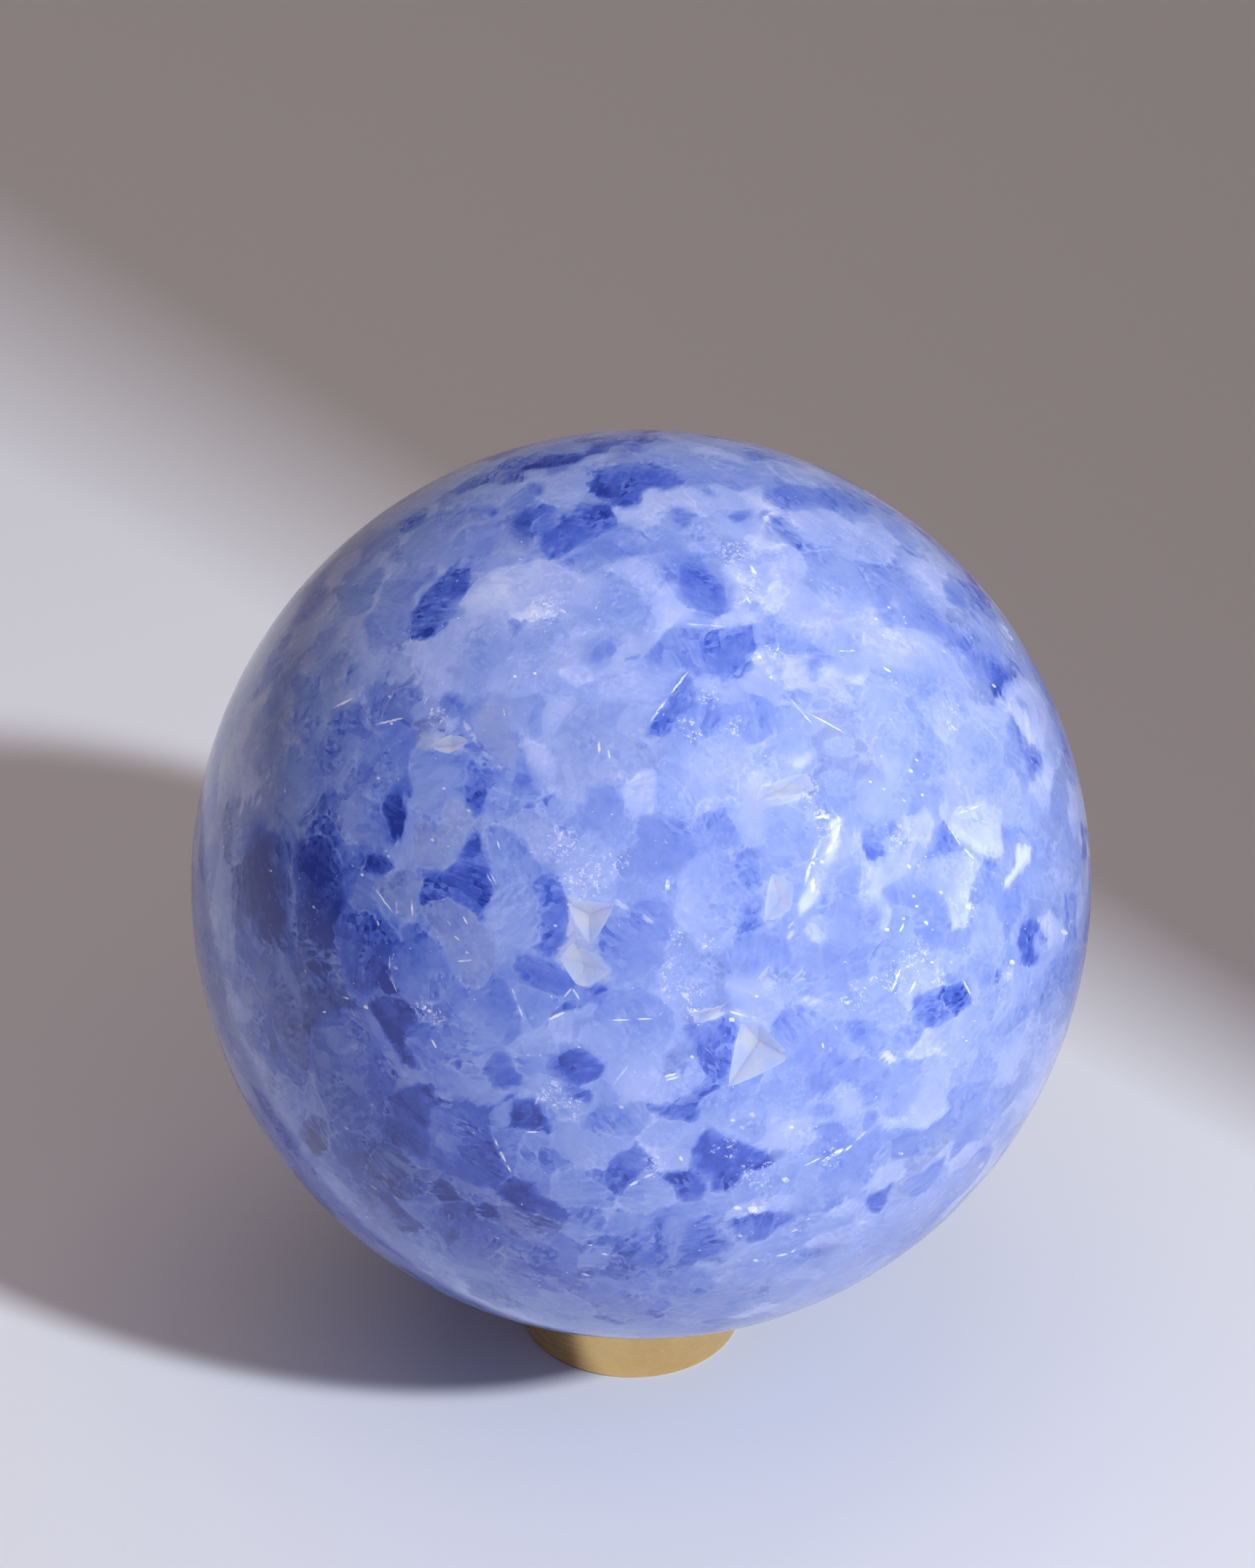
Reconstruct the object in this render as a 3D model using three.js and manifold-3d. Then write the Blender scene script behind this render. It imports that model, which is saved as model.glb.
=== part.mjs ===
// A polished ball of blue calcite that rests on a short brass ring.
// Units are millimetres and +Z is up. The origin is the middle of the ring's foot, on the table.

import * as THREE from 'three';
import { mergeVertices } from 'three/addons/utils/BufferGeometryUtils.js';
import Module from 'manifold-3d';

// The ball is ground by hand, so its upright radius is a little longer than its level one.
const BALL_LEVEL_RADIUS = 39;
const BALL_UPRIGHT_RADIUS = 39.6;
const BALL_DETAIL = 17;

const RING_OUTER_RADIUS = 10;
const RING_BORE_RADIUS = 7.4;
const RING_HEIGHT = 8;
const RING_SEGMENTS = 64;
const SEAT_OUTER_RADIUS = 8.8;
const OUTER_EDGE_ROUND = 0.5;
const FOOT_EDGE_ROUND = 0.3;
const BORE_FOOT_CHAMFER = 0.4;
const EDGE_STEPS = 3;

// The ball touches the seat along a circle, and a hair of room keeps the two solids apart.
const SEAT_CONTACT_RADIUS = (RING_BORE_RADIUS + SEAT_OUTER_RADIUS) / 2;
const SEAT_ROOM = 0.05;

// How far past the ball's skin a pit's cutter reaches, as a share of the pit's depth.
const CUTTER_REACH = 0.7;

// Cleavage pits, where a corner of a calcite grain broke out. Longitude is 0 at the front and
// grows to the right, latitude is up from the ball's middle. Corners and the deepest point are
// east and north of that place, on the plane that touches the ball there.
const PITS = [
  {
    lon: 14.4, lat: 12.8, deepest: [0.55, 0], depth: 1.3,
    corners: [[-2.4, -3.2], [2.8, -1.25], [0.2, 2.3], [-1.15, 2.4]],
  },
  {
    lon: -7, lat: 28.9, deepest: [-0.1, 0.2], depth: 0.7,
    corners: [[0.3, -2.3], [1.95, 1.2], [-2, 1.1]],
  },
  {
    lon: -7.3, lat: 23.1, deepest: [0.1, 0], depth: 0.6,
    corners: [[-0.5, -1.5], [0.45, -1.65], [2.3, -0.2], [-0.9, 1.9], [-1.9, 0.45]],
  },
  {
    lon: 16.5, lat: 21.3, deepest: [0, 0.1], depth: 0.4,
    corners: [[1.15, -0.9], [0, 0.95], [-1.1, -0.1]],
  },
  {
    lon: 20.5, lat: 20.8, deepest: [0.15, -0.05], depth: 0.3,
    corners: [[-1, -0.35], [0.6, -0.35], [0.4, 0.7]],
  },
  {
    lon: 8.3, lat: 17.6, deepest: [-0.4, -0.1], depth: 0.35,
    corners: [[-0.65, -0.8], [2, 0.7], [-1.4, 0.15]],
  },
  {
    lon: 31.2, lat: 21.5, deepest: [0.05, 0], depth: 0.4,
    corners: [[-0.95, -0.75], [-0.75, -0.9], [0.95, 0.75], [0.8, 0.9]],
  },
  {
    lon: 23.4, lat: 42.8, deepest: [-0.6, 0], depth: 0.45,
    corners: [[-2.7, -0.4], [0.3, -0.65], [2.3, -0.5], [1.9, 1], [-1.7, 0.6]],
  },
  {
    lon: 18.9, lat: 30.5, deepest: [0.2, -0.2], depth: 0.45,
    corners: [[-1.5, -1.9], [0.9, -1.1], [1.35, 0.9], [-0.35, 2]],
  },
  {
    lon: -34.6, lat: 45.4, deepest: [0, -0.2], depth: 0.4,
    corners: [[-1.8, -1], [0.3, -0.9], [1.65, 0.8], [-0.2, 0.7]],
  },
  {
    lon: -118, lat: 24, deepest: [0.2, 0], depth: 0.8,
    corners: [[-1.6, -1.2], [1.9, -0.6], [0.1, 2]],
  },
  {
    lon: 152, lat: 8, deepest: [0.1, -0.1], depth: 0.7,
    corners: [[-1.2, -1.8], [1.4, -0.9], [0.9, 1.5], [-0.8, 1.3]],
  },
  {
    lon: 96, lat: 38, deepest: [0.1, 0], depth: 0.4,
    corners: [[-1, -0.8], [1.2, -0.5], [0.2, 1.3]],
  },
  {
    lon: 118, lat: -31, deepest: [0.2, -0.2], depth: 0.6,
    corners: [[-1.9, -0.7], [0.8, -1.3], [1.5, 1.1]],
  },
  {
    lon: -158, lat: -22, deepest: [0, 0], depth: 0.5,
    corners: [[-0.9, -1.1], [1.3, -0.4], [-0.3, 1.4]],
  },
];

const wasm = await Module();
wasm.setup();

// The place on the ball's skin along a direction from its middle.
function skinPoint(direction) {
  const d = direction.clone().normalize();
  const level = Math.hypot(d.x, d.y) / BALL_LEVEL_RADIUS;
  const upright = d.z / BALL_UPRIGHT_RADIUS;
  return d.divideScalar(Math.hypot(level, upright));
}

// The skin point at a longitude and latitude, with the east, north and outward directions there.
function placeOnBall(lon, lat) {
  const turn = THREE.MathUtils.degToRad(lon);
  const rise = THREE.MathUtils.degToRad(lat);
  const out = new THREE.Vector3(
    Math.cos(rise) * Math.sin(turn),
    -Math.cos(rise) * Math.cos(turn),
    Math.sin(rise),
  );
  const east = new THREE.Vector3(0, 0, 1).cross(out).normalize();
  const north = out.clone().cross(east);
  return { point: skinPoint(out), east, north, out };
}

function toManifold(geometry) {
  const bare = geometry.clone();
  bare.deleteAttribute('normal');
  bare.deleteAttribute('uv');
  const merged = mergeVertices(bare, 1e-4);
  return new wasm.Manifold(new wasm.Mesh({
    numProp: 3,
    vertProperties: new Float32Array(merged.attributes.position.array),
    triVerts: new Uint32Array(merged.index.array),
  }));
}

function toGeometry(solid) {
  const mesh = solid.getMesh();
  const geometry = new THREE.BufferGeometry();
  geometry.setAttribute('position', new THREE.BufferAttribute(mesh.vertProperties, 3));
  geometry.setIndex(new THREE.BufferAttribute(mesh.triVerts, 1));
  const faceted = geometry.toNonIndexed();
  faceted.computeVertexNormals();
  return faceted;
}

// A pyramid with its tip at the pit's deepest point, whose sides pass through the pit's corners
// on the skin and run on past them, so that its base is outside the ball.
function pitCutter({ lon, lat, corners, deepest, depth }) {
  const place = placeOnBall(lon, lat);
  const offset = ([e, n]) => place.point.clone()
    .addScaledVector(place.east, e)
    .addScaledVector(place.north, n);
  const tip = skinPoint(offset(deepest)).addScaledVector(place.out, -depth);
  const base = corners.map((corner) => {
    const onSkin = skinPoint(offset(corner));
    return onSkin.add(onSkin.clone().sub(tip).multiplyScalar(CUTTER_REACH));
  });
  const points = [tip, ...base];
  const faces = [];
  for (let i = 0; i < base.length; i += 1) {
    const next = (i + 1) % base.length;
    faces.push(0, 1 + next, 1 + i);
    if (i > 0 && next > 0) faces.push(1, 1 + i, 1 + next);
  }
  const geometry = new THREE.BufferGeometry().setFromPoints(points);
  geometry.setIndex(faces);
  return toManifold(geometry);
}

function ballGeometry() {
  const round = new THREE.IcosahedronGeometry(1, BALL_DETAIL);
  round.scale(BALL_LEVEL_RADIUS, BALL_LEVEL_RADIUS, BALL_UPRIGHT_RADIUS);
  let ball = toManifold(round);
  for (const pit of PITS) ball = ball.subtract(pitCutter(pit));
  return toGeometry(ball);
}

// How steeply the ball's skin rises at a given distance from the upright axis, near its foot.
function skinSlope(radius) {
  const share = radius / BALL_LEVEL_RADIUS;
  return (BALL_UPRIGHT_RADIUS / BALL_LEVEL_RADIUS) * share / Math.sqrt(1 - share * share);
}

// The seat is a shallow cone that touches the ball half-way across.
function seatHeight(radius) {
  return RING_HEIGHT - (SEAT_OUTER_RADIUS - radius) * skinSlope(SEAT_CONTACT_RADIUS);
}

// Points along a quarter-round edge, from one angle to another, in degrees.
function edgeRound(centreRadius, centreHeight, round, from, to) {
  const points = [];
  for (let i = 0; i <= EDGE_STEPS; i += 1) {
    const angle = THREE.MathUtils.degToRad(from + (to - from) * i / EDGE_STEPS);
    points.push(new THREE.Vector2(
      centreRadius + round * Math.cos(angle),
      centreHeight + round * Math.sin(angle),
    ));
  }
  return points;
}

function ringGeometry() {
  const profile = [
    new THREE.Vector2(RING_BORE_RADIUS + BORE_FOOT_CHAMFER, 0),
    ...edgeRound(RING_OUTER_RADIUS - FOOT_EDGE_ROUND, FOOT_EDGE_ROUND, FOOT_EDGE_ROUND, -90, 0),
    ...edgeRound(RING_OUTER_RADIUS - OUTER_EDGE_ROUND, RING_HEIGHT - OUTER_EDGE_ROUND,
      OUTER_EDGE_ROUND, 0, 90),
    new THREE.Vector2(SEAT_OUTER_RADIUS, RING_HEIGHT),
    new THREE.Vector2(RING_BORE_RADIUS, seatHeight(RING_BORE_RADIUS)),
    new THREE.Vector2(RING_BORE_RADIUS, BORE_FOOT_CHAMFER),
  ];
  profile.push(profile[0].clone());
  const ring = new THREE.LatheGeometry(profile, RING_SEGMENTS);
  ring.rotateX(Math.PI / 2);
  return ring;
}

const calcite = new THREE.MeshStandardMaterial({ color: 0x7d92dc, roughness: 0.12, metalness: 0 });
const brass = new THREE.MeshStandardMaterial({ color: 0xc8a050, roughness: 0.28, metalness: 1 });

const contactShare = SEAT_CONTACT_RADIUS / BALL_LEVEL_RADIUS;
const contactDrop = BALL_UPRIGHT_RADIUS * Math.sqrt(1 - contactShare * contactShare);
const ballCentreHeight = seatHeight(SEAT_CONTACT_RADIUS) + contactDrop + SEAT_ROOM;

const ball = new THREE.Mesh(ballGeometry(), calcite);
ball.name = 'calcite_sphere';
ball.position.z = ballCentreHeight;

const ring = new THREE.Mesh(ringGeometry(), brass);
ring.name = 'brass_ring';

const sphereOnRing = new THREE.Group();
sphereOnRing.add(ring, ball);

export default sphereOnRing;
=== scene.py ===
# %% [markdown]
# # A polished calcite ball on a brass ring
#
# The object is a ball of blue calcite, ground and polished by hand, on a short turned brass ring.
# The imported frame gives the place and size of both. This script gives them their looks: the stone's
# grains, clouds, cleavage streaks, painted glints and chipped pits, and the brass's turning marks.

# %% Load the frame
import math
import bpy
import numpy as np
from mathutils import Matrix, Vector


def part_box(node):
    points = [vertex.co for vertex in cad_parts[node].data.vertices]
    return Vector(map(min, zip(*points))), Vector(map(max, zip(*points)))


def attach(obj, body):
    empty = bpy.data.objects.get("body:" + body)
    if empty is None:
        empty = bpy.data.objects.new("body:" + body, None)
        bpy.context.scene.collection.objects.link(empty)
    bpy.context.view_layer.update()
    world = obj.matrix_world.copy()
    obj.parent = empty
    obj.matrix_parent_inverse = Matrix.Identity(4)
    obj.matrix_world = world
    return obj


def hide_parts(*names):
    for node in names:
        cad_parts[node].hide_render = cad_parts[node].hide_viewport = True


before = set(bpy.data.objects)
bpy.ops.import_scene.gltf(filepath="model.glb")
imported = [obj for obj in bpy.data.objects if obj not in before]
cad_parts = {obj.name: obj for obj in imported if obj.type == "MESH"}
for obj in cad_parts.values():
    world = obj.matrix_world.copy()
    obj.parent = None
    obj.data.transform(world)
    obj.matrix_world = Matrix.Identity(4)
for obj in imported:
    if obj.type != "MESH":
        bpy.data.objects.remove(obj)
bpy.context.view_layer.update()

MM = 0.001


def unit(vectors):
    """The vectors divided by their lengths."""
    return vectors / np.linalg.norm(vectors, axis=-1, keepdims=True)


ball_low, ball_high = (np.array(corner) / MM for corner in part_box("calcite_sphere"))
ring_low, ring_high = (np.array(corner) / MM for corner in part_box("brass_ring"))
CENTRE = (ball_low + ball_high) / 2
RADII = (ball_high - ball_low) / 2
print("ball centre", CENTRE.round(2), "radii", RADII.round(2), "mm")

# %% [markdown]
# ## The camera
#
# The camera looks down at the ball from the front with a long lens, and is turned a little about its
# own axis. Its focal length is given in pixels of the photo, which makes it easy to say where the
# camera sees a point: focal length times sideways offset over depth. The other way round, a pixel is
# a ray, and the ray's first crossing with the ball's skin, an ellipsoid, is the point seen there.

# %% Camera
PHOTO_WIDTH = 1725
PHOTO_HEIGHT = 2156
FOCAL_LENGTH_PX = 7200
SENSOR_LONG_SIDE = 36
CAMERA_DOWN = 32
CAMERA_ROLL = 1.34
CAMERA_PLACE = np.array([-1.37, -381.65, 295.37])
NEAREST_SEEN_M = 0.01
FURTHEST_SEEN_M = 20


def camera_axes():
    """The camera's right, up and forward directions: level, then tipped down, then rolled."""
    down, roll = math.radians(CAMERA_DOWN), math.radians(CAMERA_ROLL)
    forward = np.array([0, math.cos(down), -math.sin(down)])
    level = np.array([1.0, 0, 0])
    rise = np.cross(level, forward)
    right = level * math.cos(roll) + rise * math.sin(roll)
    up = rise * math.cos(roll) - level * math.sin(roll)
    return right, up, forward


RIGHT, UP, FORWARD = camera_axes()


def to_picture(points):
    """Pixels of the photo at which the camera sees points given in millimetres."""
    offset = points - CAMERA_PLACE
    depth = offset @ FORWARD
    across = PHOTO_WIDTH / 2 + FOCAL_LENGTH_PX * (offset @ RIGHT) / depth
    down = PHOTO_HEIGHT / 2 - FOCAL_LENGTH_PX * (offset @ UP) / depth
    return np.stack([across, down], axis=-1)


def from_picture(pixels):
    """Directions from the ball's middle to the skin points seen at pixels of the photo: the smaller
    root of the quadratic for a ray and an ellipsoid. A ray that misses gives its nearest point."""
    across, down = (np.asarray(pixels, float) - [PHOTO_WIDTH / 2, PHOTO_HEIGHT / 2]).T
    ray = FORWARD * FOCAL_LENGTH_PX + across[:, None] * RIGHT - down[:, None] * UP
    ray, start = ray / RADII, (CAMERA_PLACE - CENTRE) / RADII
    a, b, c = (ray ** 2).sum(1), ray @ start, start @ start - 1
    reach = (-b - np.sqrt(np.maximum(b ** 2 - a * c, 0))) / a
    return unit((start + ray * reach[:, None]) * RADII)


def make_camera():
    data = bpy.data.cameras.new("camera")
    data.sensor_width = SENSOR_LONG_SIDE
    data.lens = SENSOR_LONG_SIDE * FOCAL_LENGTH_PX / PHOTO_HEIGHT
    data.clip_start = NEAREST_SEEN_M
    data.clip_end = FURTHEST_SEEN_M
    camera = bpy.data.objects.new("camera", data)
    bpy.context.scene.collection.objects.link(camera)
    matrix = np.eye(4)
    matrix[:3, 0], matrix[:3, 1], matrix[:3, 2] = RIGHT, UP, -FORWARD
    matrix[:3, 3] = CAMERA_PLACE * MM
    camera.matrix_world = Matrix(matrix.tolist())
    bpy.context.scene.camera = camera


make_camera()
print("ball's middle is seen at", to_picture(CENTRE).round(1), "px")

# %% [markdown]
# ## Floor, lamps and flag
#
# Sunlight from a window reaches the ball from the front right, low enough to throw a long shadow,
# and the soft edge of that shadow tells how wide the light is. What light there is in the room comes
# mostly from above and is warmer. A flag, as photographers call a board that cuts light off, stands
# outside the picture and keeps the sun off the floor behind the ball.

# %% Floor, lamps and flag
FLOOR_SIZE = 6
FLOOR_COLOUR = (0.72, 0.72, 0.78, 1)
FLOOR_ROUGHNESS = 0.7
KEY_TURN = 43
KEY_RISE = 38
KEY_DISTANCE = 1.2
KEY_WIDTH = 0.08
KEY_POWER = 16.5
KEY_COLOUR = (0.86, 0.93, 1.0)
FILL_HEIGHT = 1.2
FILL_WIDTH = 1.6
FILL_POWER = 7
ROOM_COLOUR = (1.0, 0.85, 0.79)
ROOM_STRENGTH = 0.10
FLAG_EDGE = (0.203, -0.114)
FLAG_WIDTH = 1.0
FLAG_HEIGHT = 1.2
FLAG_COLOUR = (0.1, 0.08, 0.07, 1)


def plain_material(name, colour, roughness):
    material = bpy.data.materials.new(name)
    material.use_nodes = True
    surface = material.node_tree.nodes["Principled BSDF"]
    surface.inputs["Base Color"].default_value = colour
    surface.inputs["Roughness"].default_value = roughness
    return material


def make_board(name, corners, material):
    """One flat four-cornered face, in metres, that isn't part of the object."""
    mesh = bpy.data.meshes.new(name)
    mesh.from_pydata(corners, [], [(0, 1, 2, 3)])
    mesh.materials.append(material)
    board = bpy.data.objects.new(name, mesh)
    bpy.context.scene.collection.objects.link(board)
    return board


def make_floor():
    half = FLOOR_SIZE / 2
    corners = [(-half, -half, 0), (half, -half, 0), (half, half, 0), (-half, half, 0)]
    make_board("floor", corners, plain_material("pale_floor", FLOOR_COLOUR, FLOOR_ROUGHNESS))


def key_direction():
    """From the ball to the key light: a turn to the right of the front, and a rise above level."""
    turn, rise = math.radians(KEY_TURN), math.radians(KEY_RISE)
    return np.array([math.cos(rise) * math.cos(turn), -math.cos(rise) * math.sin(turn), math.sin(rise)])


def make_lamp(name, width, power, colour, place, backwards):
    """A square lamp at a place in metres that shines away from the given direction. The stone shows
    no bright spot of it, so it is left out of reflections."""
    data = bpy.data.lights.new(name, "AREA")
    data.size = width
    data.energy = power
    data.color = colour
    lamp = bpy.data.objects.new(name, data)
    bpy.context.scene.collection.objects.link(lamp)
    lamp.location = place
    lamp.rotation_mode = "QUATERNION"
    lamp.rotation_quaternion = Vector(backwards).to_track_quat("Z", "Y")
    lamp.visible_glossy = False


def make_flag():
    """An upright board square to the sun's way, from its edge off to the back right."""
    across = unit(np.cross([0, 0, 1.0], key_direction()))[:2]
    start = np.array(FLAG_EDGE)
    end = start + across * FLAG_WIDTH
    corners = [(*start, 0), (*end, 0), (*end, FLAG_HEIGHT), (*start, FLAG_HEIGHT)]
    flag = make_board("flag", corners, plain_material("dark_board", FLAG_COLOUR, 1))
    flag.visible_camera = False
    flag.visible_glossy = False


def make_room_light():
    world = bpy.data.worlds.new("room_light")
    world.use_nodes = True
    room = world.node_tree.nodes["Background"]
    room.inputs["Color"].default_value = (*ROOM_COLOUR, 1)
    room.inputs["Strength"].default_value = ROOM_STRENGTH
    bpy.context.scene.world = world


make_floor()
key_place = CENTRE * MM + key_direction() * KEY_DISTANCE
make_lamp("key", KEY_WIDTH, KEY_POWER, KEY_COLOUR, key_place, key_direction())
make_lamp("fill", FILL_WIDTH, FILL_POWER, ROOM_COLOUR, (0, 0, FILL_HEIGHT), (0, 0, 1))
make_flag()
make_room_light()
bpy.context.scene.view_settings.view_transform = "Standard"
print("key light stands at", key_place.round(2), "m")

# %% [markdown]
# ## A grid over the ball
#
# The six sides of a cube, blown up to a sphere, cover the ball with even squares and no poles. The
# grid is then drawn together towards the side that the camera sees, by the map that keeps small
# shapes the same, so that the grains there get crisper corners. A direction from the ball's middle
# is the grid's coordinate, and the ball's skin is an ellipsoid.

# %% Grid over the ball
GRID_STEPS = 90
FRONT_PULL = 0.4


def cube_sphere(steps):
    """Unit directions over a sphere and the triangles between them: on each side of a cube the two
    parameters are tangents of evenly spaced angles, and the point is divided by its length."""
    t = np.tan(np.linspace(-np.pi / 4, np.pi / 4, steps + 1))
    u, v = np.meshgrid(t, t, indexing="ij")
    one = np.ones_like(u)
    sides = []
    for turn in range(3):
        sides.append(np.roll(np.stack([one, u, v], -1), turn, axis=-1))
        sides.append(-np.roll(np.stack([one, v, u], -1), turn, axis=-1))
    points = unit(np.array(sides).reshape(-1, 3))
    row, column = np.meshgrid(np.arange(steps), np.arange(steps), indexing="ij")
    first = (row * (steps + 1) + column).ravel()
    quads = np.stack([first, first + steps + 1, first + steps + 2, first + 1], -1)
    quads = (quads[None] + np.arange(6)[:, None, None] * (steps + 1) ** 2).reshape(-1, 4)
    _, keep, rename = np.unique(points.round(7), axis=0, return_index=True, return_inverse=True)
    quads = rename.ravel()[quads]
    triangles = np.concatenate([quads[:, [0, 1, 2]], quads[:, [0, 2, 3]]])
    return points[keep], triangles


def draw_together(directions, way, pull):
    """Moves directions towards a way: with c the cosine to it, c becomes (c + k) / (1 + k c), and
    the rest shrinks by the root of (1 - k^2) over the same divisor."""
    c = directions @ way
    divisor = 1 + pull * c
    along = (c + pull) / divisor - c * math.sqrt(1 - pull ** 2) / divisor
    return directions * (math.sqrt(1 - pull ** 2) / divisor)[:, None] + along[:, None] * way


def skin_radius(directions):
    """Distance from the ball's middle to its skin, an ellipsoid, along unit directions."""
    return 1 / np.linalg.norm(directions / RADII, axis=-1)


def skin_point(directions):
    return CENTRE + directions * skin_radius(directions)[:, None]


directions, triangles = cube_sphere(GRID_STEPS)
directions = unit(draw_together(directions, unit(CAMERA_PLACE - CENTRE), FRONT_PULL))
print(len(directions), "grid points and", len(triangles), "triangles")

# %% [markdown]
# ## Cutting the grid along borders
#
# Grains and pits have crisp borders that run across the even grid. Every point gets a label, the
# grain or the pit face that it is in. Where the ends of an edge have unlike labels, the edge is cut
# at the border, and each triangle there is divided so that every piece has one label only.

# %% Cut along borders
HALVINGS = 9
LEAST_SHARE = 0.04


def border_points(points, edges, labels, label_of):
    """Where each edge leaves its first end's label, found by halving the edge again and again. It
    keeps off both ends, so that no piece is too slim."""
    start, end = points[edges[:, 0]], points[edges[:, 1]]
    low, high = np.zeros(len(edges)), np.ones(len(edges))
    for _ in range(HALVINGS):
        middle = (low + high) / 2
        place = unit(start + (end - start) * middle[:, None])
        inside = label_of(place) == labels[edges[:, 0]]
        low = np.where(inside, middle, low)
        high = np.where(inside, high, middle)
    share = np.clip((low + high) / 2, LEAST_SHARE, 1 - LEAST_SHARE)
    return unit(start + (end - start) * share[:, None])


def edges_to_cut(triangles, corner, count):
    """A key for each side of each triangle that has unlike ends, and -1 for the others."""
    keys = []
    for a, b in ((0, 1), (1, 2), (2, 0)):
        low = np.minimum(triangles[:, a], triangles[:, b])
        high = np.maximum(triangles[:, a], triangles[:, b])
        key = low.astype(np.int64) * count + high
        keys.append(np.where(corner[:, a] == corner[:, b], -1, key))
    return np.stack(keys, -1)


def cut_along_borders(points, triangles, label_of, carried):
    """Divides triangles at label borders. Returns points, triangles, each triangle's label, and
    the carried value of the triangle that it came from."""
    labels = label_of(points)
    corner = labels[triangles]
    side_keys = edges_to_cut(triangles, corner, len(points))
    keys = np.unique(side_keys[side_keys >= 0])
    edges = np.stack([keys // len(points), keys % len(points)], -1)
    cuts = border_points(points, edges, labels, label_of)
    cut_index = len(points) + np.searchsorted(keys, side_keys)
    unlike = (side_keys >= 0).sum(1)

    whole = unlike == 0
    parts, names, kept = [triangles[whole]], [corner[whole, 0]], [carried[whole]]

    def add(rows, corners, name):
        parts.append(np.stack(corners, -1))
        names.append(name)
        kept.append(carried[rows])

    for odd in range(3):
        after, before = (odd + 1) % 3, (odd + 2) % 3
        rows = (unlike == 2) & (corner[:, after] == corner[:, before])
        tip, a, b = triangles[rows, odd], triangles[rows, after], triangles[rows, before]
        cut_a, cut_b = cut_index[rows, odd], cut_index[rows, before]
        add(rows, (tip, cut_a, cut_b), corner[rows, odd])
        add(rows, (cut_a, a, b), corner[rows, after])
        add(rows, (cut_a, b, cut_b), corner[rows, after])

    rows = np.flatnonzero(unlike == 3)
    all_points = np.concatenate([points, cuts])
    middles = unit(all_points[cut_index[rows]].mean(1))
    middle = len(all_points) + np.arange(len(rows))
    for k in range(3):
        here, next_cut, last_cut = triangles[rows, k], cut_index[rows, k], cut_index[rows, (k + 2) % 3]
        add(rows, (here, next_cut, middle), corner[rows, k])
        add(rows, (here, middle, last_cut), corner[rows, k])
    return (np.concatenate([all_points, middles]), np.concatenate(parts),
            np.concatenate(names), np.concatenate(kept))


# %% [markdown]
# ## The pits
#
# Where the corner of a calcite grain broke out, it left a pit with flat faces. Each pit is a pyramid
# with its tip inside the stone, as in the frame's solid, and its sides meet the skin at the pit's
# corners. Along a direction, the stone ends at the furthest side of the pyramid. Places are in
# degrees on the ball, and corners in mm to the east and north of there.

# %% Pits
PITS = [
    {"lon": 14.4, "lat": 12.8, "deepest": (0.55, 0), "depth": 1.3,
     "corners": [(-2.4, -3.2), (2.8, -1.25), (0.2, 2.3), (-1.15, 2.4)]},
    {"lon": -7, "lat": 28.9, "deepest": (-0.1, 0.2), "depth": 0.7,
     "corners": [(0.3, -2.3), (1.95, 1.2), (-2, 1.1)]},
    {"lon": -7.3, "lat": 23.1, "deepest": (0.1, 0), "depth": 0.6,
     "corners": [(-0.5, -1.5), (0.45, -1.65), (2.3, -0.2), (-0.9, 1.9), (-1.9, 0.45)]},
    {"lon": 16.5, "lat": 21.3, "deepest": (0, 0.1), "depth": 0.4,
     "corners": [(1.15, -0.9), (0, 0.95), (-1.1, -0.1)]},
    {"lon": 20.5, "lat": 20.8, "deepest": (0.15, -0.05), "depth": 0.3,
     "corners": [(-1, -0.35), (0.6, -0.35), (0.4, 0.7)]},
    {"lon": 8.3, "lat": 17.6, "deepest": (-0.4, -0.1), "depth": 0.35,
     "corners": [(-0.65, -0.8), (2, 0.7), (-1.4, 0.15)]},
    {"lon": 31.2, "lat": 21.5, "deepest": (0.05, 0), "depth": 0.4,
     "corners": [(-0.95, -0.75), (-0.75, -0.9), (0.95, 0.75), (0.8, 0.9)]},
    {"lon": 23.4, "lat": 42.8, "deepest": (-0.6, 0), "depth": 0.45,
     "corners": [(-2.7, -0.4), (0.3, -0.65), (2.3, -0.5), (1.9, 1), (-1.7, 0.6)]},
    {"lon": 18.9, "lat": 30.5, "deepest": (0.2, -0.2), "depth": 0.45,
     "corners": [(-1.5, -1.9), (0.9, -1.1), (1.35, 0.9), (-0.35, 2)]},
    {"lon": -34.6, "lat": 45.4, "deepest": (0, -0.2), "depth": 0.4,
     "corners": [(-1.8, -1), (0.3, -0.9), (1.65, 0.8), (-0.2, 0.7)]},
    {"lon": -118, "lat": 24, "deepest": (0.2, 0), "depth": 0.8,
     "corners": [(-1.6, -1.2), (1.9, -0.6), (0.1, 2)]},
    {"lon": 152, "lat": 8, "deepest": (0.1, -0.1), "depth": 0.7,
     "corners": [(-1.2, -1.8), (1.4, -0.9), (0.9, 1.5), (-0.8, 1.3)]},
    {"lon": 96, "lat": 38, "deepest": (0.1, 0), "depth": 0.4,
     "corners": [(-1, -0.8), (1.2, -0.5), (0.2, 1.3)]},
    {"lon": 118, "lat": -31, "deepest": (0.2, -0.2), "depth": 0.6,
     "corners": [(-1.9, -0.7), (0.8, -1.3), (1.5, 1.1)]},
    {"lon": -158, "lat": -22, "deepest": (0, 0), "depth": 0.5,
     "corners": [(-0.9, -1.1), (1.3, -0.4), (-0.3, 1.4)]},
]
PIT_NEAR = 0.97
ALMOST_LEVEL = 1e-3


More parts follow.
